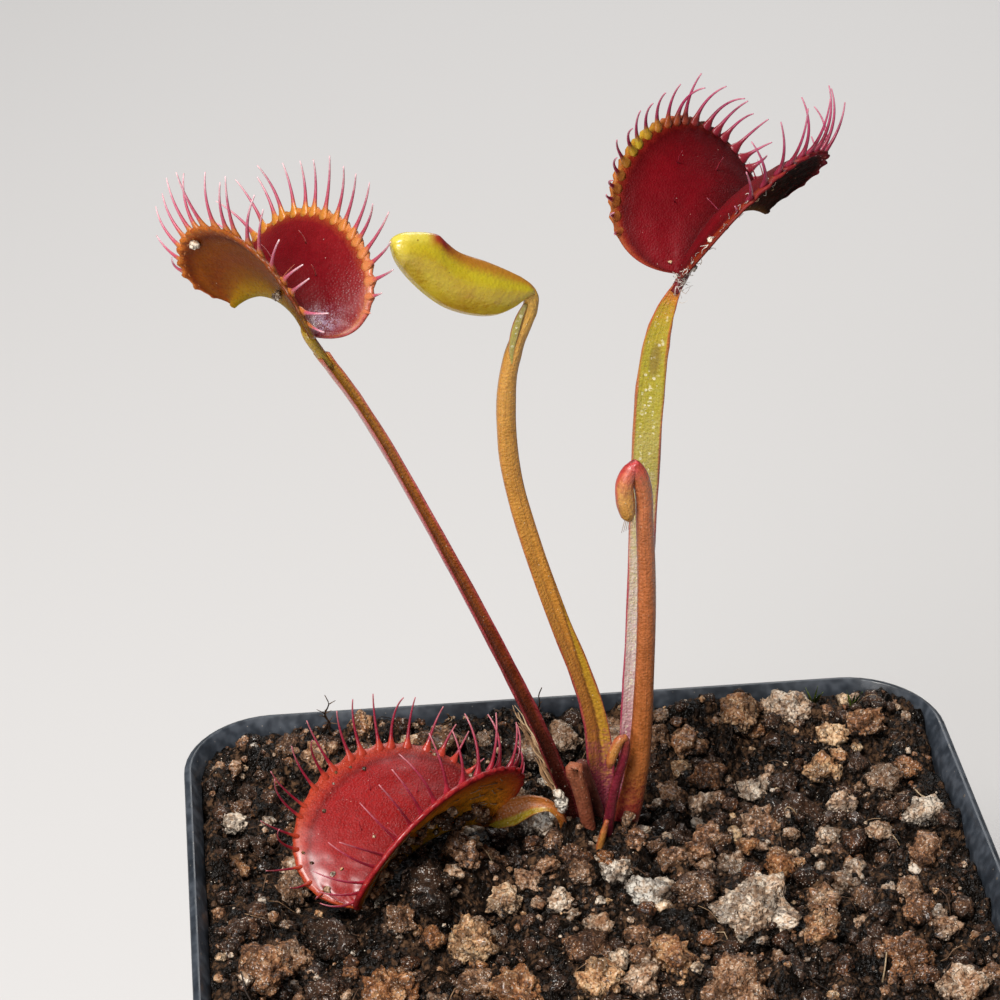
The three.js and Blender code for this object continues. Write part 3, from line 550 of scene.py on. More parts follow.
class Route:
    """Smooth path through points that each carry further values after x, y and z."""

    def __init__(self, points):
        self.points = [Vector(p[:3]) for p in points]
        self.values = [p[3:] for p in points]
        self.spans = len(points) - 1

    def span(self, t):
        i = min(int(t * self.spans), self.spans - 1)
        return i, t * self.spans - i

    def point(self, t):
        i, part = self.span(t)
        start, end = self.points[i], self.points[i + 1]
        before = self.points[i - 1] if i > 0 else 2 * start - end
        after = self.points[i + 2] if i + 2 <= self.spans else 2 * end - start
        steps = ((before, start), (start, end), (end, after))
        gap = [max(math.sqrt((b - a).length), 1e-4) for a, b in steps]
        leave = (start - before) / gap[0] - (end - before) / (gap[0] + gap[1]) + (end - start) / gap[1]
        arrive = (end - start) / gap[1] - (after - start) / (gap[1] + gap[2]) + (after - end) / gap[2]
        leave, arrive = leave * gap[1], arrive * gap[1]
        square = -3 * start + 3 * end - 2 * leave - arrive
        cube = 2 * start - 2 * end + leave + arrive
        return start + leave * part + square * part ** 2 + cube * part ** 3

    def tangent(self, t):
        return (self.point(min(t + 0.002, 1)) - self.point(max(t - 0.002, 0))).normalized()

    def value(self, t, k):
        i, part = self.span(t)
        return mix(self.values[i][k], self.values[i + 1][k], part)


def round_tube(name, route, radius, sides=8, rows=8, lies=None):
    """Round tube along a route. radius(t) is in mm, and may give (across, deep).

    lies sets one value of along for the whole tube.
    """
    front = Vector((0.02, -1, 0.03))

    def where(t, k):
        along = route.tangent(t)
        side = along.cross(front)
        if side.length < 0.2:
            side = along.cross(Vector((1, 0, 0)))
        side.normalize()
        out = side.cross(along).normalized()
        turn = k / sides * 2 * math.pi
        size = radius(t)
        wide, deep = size if isinstance(size, tuple) else (size, size)
        point = route.point(t) + side * wide * math.cos(turn) + out * deep * math.sin(turn)
        return point, (t if lies is None else lies, math.cos(turn), math.sin(turn))

    return shaped_tube(name, sides, rows, where)


def strand(name, points, thick, thin, sides, rows, lies):
    """Round strand through a few points, from thick to thin."""
    return round_tube(name, Route(points), lambda t: mix(thick, thin, t), sides, rows, lies)


# ---------------------------------------------------------------- pot

def select_where(thing, kind, wanted):
    """Selects, in edit mode, the faces, edges or vertices that pass a test."""
    bpy.ops.mesh.select_all(action="DESELECT")
    bpy.ops.mesh.select_mode(type={"faces": "FACE", "edges": "EDGE", "verts": "VERT"}[kind])
    bpy.ops.object.mode_set(mode="OBJECT")
    mesh = thing.data
    items = {"faces": mesh.polygons, "edges": mesh.edges, "verts": mesh.vertices}[kind]
    for item in items:
        item.select = wanted(item)
    bpy.ops.object.mode_set(mode="EDIT")


def cut_level(z):
    """Cuts the whole mesh being edited by a level plane."""
    bpy.ops.mesh.select_all(action="SELECT")
    bpy.ops.mesh.bisect(plane_co=(0, 0, z * MM), plane_no=(0, 0, 1))


def swell_above(thing, z, step):
    """Moves the walls above a level outwards."""
    select_where(thing, "verts", lambda v: v.co.z > (z - 0.01) * MM)
    bpy.ops.transform.shrink_fatten(value=step * MM, use_even_offset=True)


def apply_modifier(thing, kind, **settings):
    select_only(thing)
    modifier = thing.modifiers.new(kind.lower(), kind)
    for label, value in settings.items():
        setattr(modifier, label, value)
    bpy.ops.object.modifier_apply(modifier=modifier.name)


def build_pot():
    height, base = POT["height"], POT["base"]
    collar_foot = height - POT["collar"]
    lip_foot = height - POT["lip_height"]
    bpy.ops.object.select_all(action="DESELECT")
    middle = (0, 0, height / 2 * MM)
    bpy.ops.mesh.primitive_cube_add(size=1, location=middle)
    pot = named(bpy.context.object, "pot_shell")
    edit(pot)
    bpy.ops.transform.resize(value=(base * MM, base * MM, height * MM), center_override=middle)
    bpy.ops.object.mode_set(mode="OBJECT")
    bpy.ops.object.transform_apply(location=True)
    edit(pot)
    select_where(pot, "verts", lambda v: v.co.z > height / 2 * MM)
    spread = WALL_TOP / base
    bpy.ops.transform.resize(value=(spread, spread, 1), center_override=(0, 0, height * MM))

    def upright(edge):
        low, high = (pot.data.vertices[i].co.z for i in edge.vertices)
        return abs(high - low) > height / 2 * MM

    select_where(pot, "edges", upright)
    bpy.ops.mesh.bevel(offset=POT["corner"] * MM, segments=12, affect="EDGES")
    select_where(pot, "faces", lambda f: f.normal.z > 0.9)
    bpy.ops.mesh.delete(type="FACE")
    for level in (collar_foot - POT["collar_step"], collar_foot, lip_foot - 0.6, lip_foot):
        cut_level(level)
    swell_above(pot, collar_foot, POT["collar_step"])
    swell_above(pot, lip_foot, POT["lip"])
    bpy.ops.object.mode_set(mode="OBJECT")
    apply_modifier(pot, "SOLIDIFY", thickness=POT["wall"] * MM, offset=-1, use_even_offset=True)
    sharp = math.radians(32)
    width = EDGE_ROUND * MM
    apply_modifier(pot, "BEVEL", width=width, segments=3, limit_method="ANGLE", angle_limit=sharp)
    offset = POT["drain_offset"] * MM
    for spot in ((-offset, -offset, 0), (-offset, offset, 0), (offset, -offset, 0), (offset, offset, 0)):
        radius = POT["drain_radius"] * MM
        bpy.ops.mesh.primitive_cylinder_add(vertices=32, radius=radius, depth=0.006, location=spot)
        cutter = bpy.context.object
        apply_modifier(pot, "BOOLEAN", object=cutter, operation="DIFFERENCE", solver="EXACT")
        bpy.data.objects.remove(cutter)
    dress(pot, pot_plastic(), "pot_plastic", "pot")
    select_only(pot)
    bpy.ops.object.shade_smooth_by_angle(angle=math.radians(30))


def pot_plastic():
    """Thin slate-black plastic, dusty and splashed with dried peat water."""
    material, shader, principled = new_material("pot_plastic", Specular_IOR_Level=0.5)
    patches = shader.mottling(180, 0.5)
    dust = shader.specks(900, 0.08, 0.35)
    grit = shader.specks(2600, 0.07, 0.35)
    slate = [(0, 0.016, 0.02, 0.026), (0.55, 0.03, 0.037, 0.047), (1, 0.06, 0.07, 0.085)]
    film = shader.ramp(patches, slate)
    dusty = shader.blend(shader.times(dust, 0.5), film, (0.16, 0.12, 0.08))
    spotted = shader.blend(shader.times(grit, 0.6), dusty, (0.3, 0.26, 0.22))
    roughness = shader.fit(patches, 0.1, 0.9, 0.32, 0.5)
    finish_surface(shader, principled, spotted, roughness, shader.plus(patches, dust), 0.03)
    return material


# ---------------------------------------------------------------- soil

def beside_trap(x, y):
    """How far a place lies along and across the midrib of the trap on the soil, from its middle."""
    trap = OPEN_TRAPS["low"]
    angle = math.radians(trap["heading"])
    along = (-math.sin(angle), math.cos(angle))
    dx = x - trap["base"][0] - along[0] * trap["half_length"]
    dy = y - trap["base"][1] - along[1] * trap["half_length"]
    return dx * along[0] + dy * along[1], dx * along[1] - dy * along[0]


def nest(x, y):
    """How far a place on the soil lies under the trap that rests on it, from 0 to 1."""
    u, v = beside_trap(x, y)
    return math.exp(-((u / 12) ** 4) - ((v / 11) ** 4))


def bank(x, y):
    """Height of the loose soil banked up against the front lobe of that trap."""
    u, v = beside_trap(x, y)
    return 5.8 * math.exp(-(((v + 4) / 3.6) ** 2) - ((u - 1) / 8) ** 4)


def from_crown(x, y):
    return math.hypot(x - CROWN[0], y - CROWN[1])


def clods(x, y, size, layer):
    """Rounded clods of about this size packed side by side: 1 on top of one, 0 between them."""
    nearest = noise.voronoi(Vector((x / size, y / size, layer)))[0][0]
    return 1 - min(nearest * 1.5, 1) ** 2


def soil_height(x, y):
    """Height of the peat's top: swells, clods and crumbs, quieter under the low trap."""
    broad = math.sin(0.11 * x + 0.6) * math.cos(0.13 * y - 0.4)
    ripple = 0.4 * math.sin(0.31 * x - 0.27 * y)
    under = nest(x, y)
    level = mix(SOIL_SWELL * (broad + ripple), NEST_LEVEL - 0.9, under)
    wander = 1.3 * noise.noise(Vector((x, y, 3)) * 0.4)
    shift = 1.2 * noise.noise(Vector((x, y, 7)) * 0.5)
    packed = 1.5 * clods(x + shift, y - shift, 4.2, 0.4) + 0.8 * clods(x - shift, y + shift, 1.9, 5.2)
    grains = 0.45 * noise.noise(Vector((x, y, 20)) * 1.9)
    calm = 1 - 0.6 * under
    heap = 5.2 * math.exp(-((math.hypot(x - CROWN[0] + 0.6, y - CROWN[1] + 3) / 6.4) ** 2))
    edge = 3 * smooth(26, 36, y) + mix(1.2, 2.4, x < 0) * smooth(29, 37, abs(x)) * smooth(40, 20, y)
    height = SOIL_LEVEL - 1.3 + level + calm * (wander + packed + grains) + heap + edge + bank(x, y)
    if under > 0.02:
        for a, b, z in LOW_TRAP_SPOTS:
            if (x - a) ** 2 + (y - b) ** 2 < 1.7:
                height = min(height, z - 0.9)
    return height


def rounded_square(direction, half, corner):
    """Point of a square with rounded corners that lies in a direction from its middle."""
    c, s = abs(math.cos(direction)), abs(math.sin(direction))
    flat = half - corner
    reach = half / max(c, s)
    if min(c, s) * reach > flat:
        middle = flat * (c + s)
        reach = middle + math.sqrt(max(middle ** 2 - 2 * flat ** 2 + corner ** 2, 0))
    return reach


def build_soil():
    half = INNER_HALF - 0.25
    bpy.ops.object.select_all(action="DESELECT")
    bpy.ops.mesh.primitive_grid_add(x_subdivisions=200, y_subdivisions=200, size=2)
    soil = named(bpy.context.object, "peat")
    for vertex in soil.data.vertices:
        x, y = vertex.co.x, vertex.co.y
        part = max(abs(x), abs(y))
        direction = math.atan2(y, x)
        reach = rounded_square(direction, half, POT["corner"])
        x, y = reach * part * math.cos(direction), reach * part * math.sin(direction)
        drop = 0.5 * smooth(0.985, 1, part)
        vertex.co = Vector((x, y, soil_height(x, y) - drop)) * MM
    edit(soil)
    for depth, spread in SOIL_SIDES:
        select_where(soil, "edges", lambda e: False)
        bpy.ops.mesh.select_non_manifold()
        bpy.ops.mesh.extrude_edges_move()
        bpy.ops.transform.resize(value=(spread, spread, 0), center_override=(0, 0, depth * MM))
    bpy.ops.mesh.edge_face_add()
    bpy.ops.object.mode_set(mode="OBJECT")
    turn_faces_out(soil)
    dress(soil, peat_material(), "peat_and_grit", "soil")


def peat_material():
    """Wet black peat with brown crumbs, and pale specks that are partly mineral grains and partly painted
    glints.
    """
    material, shader, principled = new_material("wet_peat", Specular_IOR_Level=0.15)
    patches = shader.mottling(420, 0.5)
    skin = shader.grit_skin(2600)
    tan = shader.specks(1300, 0.3, 0.45)
    painted_sparkle = shader.specks(3000, 0.08, 0.35)
    wet = shader.ramp(patches, [
        (0, 0.002, 0.0015, 0.001), (0.5, 0.006, 0.0035, 0.002), (0.75, 0.024, 0.012, 0.006),
        (1, 0.1, 0.052, 0.025),
    ])
    crumbed = shader.blend(shader.times(tan, 0.6), wet, (0.12, 0.065, 0.036))
    # Pale specks: part mineral grains, part painted glints.
    sparkled = shader.blend(painted_sparkle, crumbed, (0.6, 0.52, 0.42))
    roughness = shader.fit(patches, 0.2, 0.9, 0.3, 0.8)
    finish_surface(shader, principled, sparkled, roughness, skin["Height"], 0.7)
    return material


def grit_material():
    """Porous grit from red-brown to pale grey, damp and stained dark where it meets the peat, with
    painted shade in its pits and painted glints.
    """
    material, shader, principled = new_material(
        "grit", Specular_IOR_Level=0.18, Coat_Weight=0.24, Coat_Roughness=0.2,
    )
    paleness, height, hue = shader.place()
    patches = shader.mottling(700, 0.45)
    skin = shader.grit_skin(3000)
    painted_sparkle = shader.specks(6500, 0.34, 0.5)
    shade = shader.plus(paleness, shader.swing(patches, 0.45))
    dry = shader.ramp(shade, [
        (0, 0.008, 0.005, 0.003), (0.3, 0.06, 0.026, 0.013), (0.55, 0.25, 0.118, 0.054),
        (0.78, 0.46, 0.31, 0.2), (1, 0.66, 0.56, 0.44),
    ])
    rusty = shader.blend(1, dry, (1, 0.82, 0.6), "MULTIPLY")
    grey = shader.blend(1, dry, (0.86, 0.95, 1.05), "MULTIPLY")
    cool = shader.blend(shader.fit(hue, 0.35, 0.1), dry, grey)
    hued = shader.blend(shader.fit(hue, 0.55, 0.9), cool, rusty)
    # Painted shade: the pits of the skin are darkened.
    pitted = shader.blend(shader.times(skin["Pits"], 0.85), hued, (0.04, 0.02, 0.012))
    stain = shader.fit(shader.plus(height, shader.times(patches, 1.2)), 0.25, 1.05)
    soaked = shader.mottling(330, 0.35)
    wet = shader.blend(shader.fit(soaked, 0.6, 0.3, 0.0, 0.62), pitted, (0.045, 0.02, 0.009))
    damp = shader.blend(stain, (0.01, 0.006, 0.004), wet)
    # Painted glints: pale specks, brighter where the mottling is high.
    glint = shader.times(painted_sparkle, shader.fit(patches, 0.3, 0.9, 0.08, 0.6))
    sparkled = shader.blend(glint, damp, (0.8, 0.72, 0.62))
    roughness = shader.fit(stain, 0.0, 1.0, 0.4, 0.75)
    finish_surface(shader, principled, sparkled, roughness, skin["Height"], 0.5)
    return material


BALLS = {}


def ball(name, detail):
    """Ball one unit across with a mesh of its own, copied from the first one of its detail."""
    if detail not in BALLS:
        bpy.ops.object.select_all(action="DESELECT")
        bpy.ops.mesh.primitive_ico_sphere_add(subdivisions=detail, radius=0.5)
        first = bpy.context.object
        BALLS[detail] = first.data
        bpy.data.objects.remove(first)
    made = bpy.data.objects.new(name, BALLS[detail].copy())
    bpy.context.scene.collection.objects.link(made)
    return named(made, name)


def lump(name, x, y, width, paleness, detail, chance, rise=0.1):
    """One knobbly lump of grit, sunk a little into the peat."""
    stone = ball(name, detail)
    shift = Vector((chance.uniform(-50, 50), chance.uniform(-50, 50), chance.uniform(-50, 50)))
    turn = Matrix.Rotation(chance.uniform(0, 6.3), 3, "Z")
    turn = turn @ Matrix.Rotation(chance.uniform(-0.4, 0.4), 3, "X")
    stretch = Vector((1, chance.uniform(0.75, 1), chance.uniform(0.68, 0.95)))
    ground = soil_height(x, y)
    rise *= width
    hue = chance.random()
    lies = stone.data.attributes.new("place", "FLOAT_VECTOR", "POINT")
    for vertex, place in zip(stone.data.vertices, lies.data):
        unit = vertex.co * 2
        size = 0.95 + 0.4 * noise.noise(unit * 1.1 + shift) + 0.3 * noise.noise(unit * 2.4 + shift)
        if detail > 2:
            size += 0.3 * (0.45 - noise.voronoi(unit * 2.3 + shift)[0][0])
            size += 0.12 * noise.noise(unit * 6.5 + shift)
        if detail > 3:
            size += 0.17 * (0.45 - noise.voronoi(unit * 5.5 + shift)[0][0])
            size += 0.08 * noise.noise(unit * 15 + shift)
        point = turn @ Vector([a * b * size * width for a, b in zip(vertex.co, stretch)])
        vertex.co = (Vector((x, y, ground + rise)) + point) * MM
        place.vector = (paleness, (point.z + rise) / (0.4 * width), hue)
    return stone


def under_trap(x, y, reach):
    """True where a lump would meet the trap that lies on the soil."""
    if nest(x, y) < 0.02:
        return False
    middle = Vector((x, y, soil_height(x, y) + 0.3 * reach))
    return min((middle - spot).length for spot in LOW_TRAP_SPOTS) < reach + 0.5


def room_in_pot(x, y, reach):
    inner = INNER_HALF - 0.4
    corner = inner - POT["corner"]
    into_corner = math.hypot(max(abs(x) - corner, 0), max(abs(y) - corner, 0))
    return max(abs(x), abs(y)) + reach < inner and into_corner + reach < POT["corner"]


def scatter_lumps(name, chance, taken, count, widths, detail, crown_gap, crowd, dark):
    """Strews lumps by chance where there is room for them, as STREWN_LUMPS says."""
    stones = []
    tries = 0
    while len(stones) < count and tries < 60 * count:
        tries += 1
        x, y = chance.uniform(-38, 38), chance.uniform(-38, 38)
        width = mix(*widths, chance.random() ** 1.7)
        reach = 0.55 * width
        if from_crown(x, y) < crown_gap + reach or not room_in_pot(x, y, reach):
            continue
        crowded = any(math.hypot(x - a, y - b) < crowd * (reach + c) for a, b, c in taken)
        if crowded or under_trap(x, y, reach):
            continue
        taken.append((x, y, reach))
        if chance.random() < dark:
            paleness = chance.uniform(0, 0.3)
        else:
            paleness = min(max(chance.gauss(0.6, 0.2), 0.1), 1)
        stones.append(lump(name, x, y, width, paleness, detail, chance, rise=0.02))
    return join(name, stones)


# For each kind: how many, their widths, how fine their mesh is, how far they keep from the crown,
# how closely they may crowd, and the share of dark ones.
STREWN_LUMPS = {
    "grit_middle": (130, (2.8, 5.6), 4, 3.4, 0.82, 0.26),
    "grit_broken": (450, (1.4, 3), 3, 2.6, 0.6, 0.45),
    "grit_small": (480, (0.8, 1.6), 3, 2, 0.42, 0.6),
    "grit_grains": (1700, (0.35, 1), 2, 1.6, 0.32, 0.55),
}


def build_grit():
    chance = random.Random(5)
    grit = grit_material()
    taken = [(x, y, 0.5 * width) for x, y, width, _ in LUMPS]
    big = []
    for x, y, width, paleness in LUMPS:
        if not under_trap(x, y, 0.4 * width):
            detail = 5 if width > 5.5 else 4
            big.append(lump("grit_large", x, y, width, paleness, detail, chance))
    dress(join("grit_large", big), grit, "peat_and_grit")
    for name, plan in STREWN_LUMPS.items():
        dress(scatter_lumps(name, chance, taken, *plan), grit, "peat_and_grit")


# ---------------------------------------------------------------- leaf stalks

def stalk_material(name, face, edge, fold=None, fold_at=(0, 0), edge_start=0.62, painted_sparkle=0.15,
                   gloss=0.35, groove=0.0, coat=0.2, streaky=1.0, scaly=0.0):
    """Fleshy leaf stalk whose colour changes from its foot to its top, redder at its edges.

    fold is the colour of its right half where that differs, fold_at where that half starts below and
    above, and groove how dark the painted shade line along the fold between is. sparkle is the share of
    pale painted glint specks, and scaly adds pale scales along its middle.
    """
    material, shader, principled = new_material(
        name, Coat_Weight=coat, Coat_Roughness=0.25, Subsurface_Weight=0.1,
        Subsurface_Radius=(1, 0.35, 0.15), Subsurface_Scale=0.0008, Specular_IOR_Level=0.4,
    )
    along, across, side = shader.place()
    patches = shader.mottling(600, 0.5)
    streaks = shader.add("CombineXYZ", {0: shader.times(along, 7), 1: shader.times(across, 5), 2: side})
    fibre = shader.add("TexNoise", {"Vector": streaks.outputs[0], "Scale": 1.6, "Detail": 3.0}).outputs[0]
    wobble = shader.swing(patches, 0.08)
    spot = shader.plus(along, wobble)
    rim = shader.plus(shader.math("ABSOLUTE", across), shader.swing(fibre, 0.5))
    middle = shader.ramp(spot, face)
    if fold:
        start = shader.fit(along, 0.24, 0.38, *fold_at)
        right = shader.fit(shader.minus(across, start), 0.0, 0.3)
        middle = shader.blend(right, middle, shader.ramp(spot, fold))
    # Painted shade: a dark line along the fold, on its lower part.
    if groove:
        beside = shader.minus(shader.minus(across, start), 0.1)
        winding = shader.plus(beside, shader.times(wobble, 2))
        painted_fold_shade = shader.fit(shader.math("ABSOLUTE", winding), 0.2, 0.0)
        low_down = shader.times(shader.fit(along, 0.08, 0.15), shader.fit(along, 0.5, 0.3, 0, groove))
        middle = shader.blend(shader.times(painted_fold_shade, low_down), middle, (0.07, 0.02, 0.006))
    flesh = shader.blend(shader.fit(rim, edge_start, 1.0), middle, shader.ramp(spot, edge))
    lift = shader.plus(shader.times(fibre, 0.55), shader.times(patches, 0.3))
    shade = shader.fit(lift, 0.15, 0.7, 1 - 0.28 * streaky, 1 + 0.18 * streaky)
    shaded = shader.dim(flesh, shade)
    freckled = shader.sprinkle(shaded, (0.1, 0.025, 0.01), 0.35, 2300, 0.14, 0.4)
    # Painted glints: pale specks, clustered by the mottling, that also rise a little in the bump.
    grains = shader.specks(4200, painted_sparkle, 0.45)
    painted_glint_specks = shader.times(grains, shader.fit(patches, 0.35, 0.8, 0.1, 0.75))
    flecks_and_painted_highlights = shader.blend(painted_glint_specks, freckled, (0.8, 0.72, 0.55))
    if scaly:
        scales = shader.specks(2700, 0.42, 0.55)
        central = shader.times(shader.fit(rim, 0.75, 0.3), shader.fit(along, 0.92, 0.7))
        scattered = shader.times(central, shader.fit(patches, 0.25, 0.6, 0.0, scaly))
        flecks_and_painted_highlights = shader.blend(shader.times(scales, scattered), flecks_and_painted_highlights, (0.8, 0.74, 0.52))
        beyond = shader.times(shader.minus(along, 0.67), 12)
        aside = shader.minus(across, 0.1)
        apart = shader.plus(shader.times(beyond, beyond), shader.times(aside, aside))
        flecks_and_painted_highlights = shader.blend(shader.fit(apart, 0.3, 0.02, 0.0, 0.55), flecks_and_painted_highlights, (0.16, 0.08, 0.015))
    pebbles = shader.pebbling(3600, 0.4)
    roughness = shader.fit(patches, 0.1, 0.9, gloss - 0.08, gloss + 0.14)
    height = shader.plus(shader.plus(pebbles, fibre), shader.times(painted_glint_specks, 0.8))
    finish_surface(shader, principled, flecks_and_painted_highlights, roughness, height, 0.09)
    return material


BLADE_SIDES = 28


def blade_ring(k):
    """Where one point of a stalk's section lies: (across, side), round from the upper left."""
    upper = BLADE_SIDES // 2 - 1
    if k < upper:
        return mix(-0.97, 0.97, k / (upper - 1)), 1
    if k == upper:
        return 1.03, 0
    if k < 2 * upper + 1:
        return mix(0.97, -0.97, (k - upper - 1) / (upper - 1)), -1
    return -1.03, 0


def build_blade(name, material, slot, rows=60, keel=0.25, ruffle=0.0, groove=0.0):
    blade = BLADES[name]
    route = Route(blade["path"])
    foot, top = (Vector(face) for face in blade["face"])
    thickness, channel = blade["thickness"], blade["channel"]
    seed = len(name) * 7

    def where(t, k):
        middle, along = route.point(t), route.tangent(t)
        side = along.cross(foot.lerp(top, t)).normalized()
        out = side.cross(along).normalized()
        s, face = blade_ring(k)
        width = route.value(t, 0) * (1 + ruffle * noise.noise(Vector((t * 22, face + (s > 0) * 9, seed))))
        rise = mix(*channel, smooth(0.3, 0.45, t)) * s * s + 0.2 * thickness
        depth = mix(thickness, 0.6, abs(s) ** 1.6) + keel * math.exp(-((s / 0.3) ** 2))
        height = rise - depth * (1 - face) / 2
        height += 0.05 * noise.noise(Vector((s * 2.5, t * 40, seed)))
        if face > 0:
            low_down = smooth(0.08, 0.16, t) * smooth(0.42, 0.3, t)
            height -= groove * math.exp(-(((s - 0.06) / 0.13) ** 2)) * low_down
        return middle + side * (s * width / 2) + out * height, (t, s, face)

    piece = shaped_tube(name + "_skin", BLADE_SIDES, rows, where)
    turn_faces_out(piece)
    return dress(piece, material, slot, name)


def build_stem(name, material, slot, rows=48, ragged=0.0, bud_material=None):
    route = Route(STEMS[name])

    def radius(t):
        lumpy = 1 + 0.05 * noise.noise(Vector((t * 14, 5, len(name))))
        return route.value(t, 0) / 2 * lumpy, route.value(t, 1) / 2 * lumpy

    piece = round_tube(name + "_skin", route, radius, 20, rows)
    if ragged:
        for vertex in piece.data.vertices:
            if vertex.co.z > 82 * MM:
                vertex.co.z += ragged * noise.noise(vertex.co * 1400) * MM
    if name in BUDS:
        bud = Route(BUDS[name])
        bud_radius = lambda t: (bud.value(t, 0) / 2, bud.value(t, 1) / 2)
        folded = round_tube(name + "_bud", bud, bud_radius, 20, 24)
        turn_faces_out(folded)
        dress(folded, bud_material, slot)
    turn_faces_out(piece)
    return dress(piece, material, slot, name)


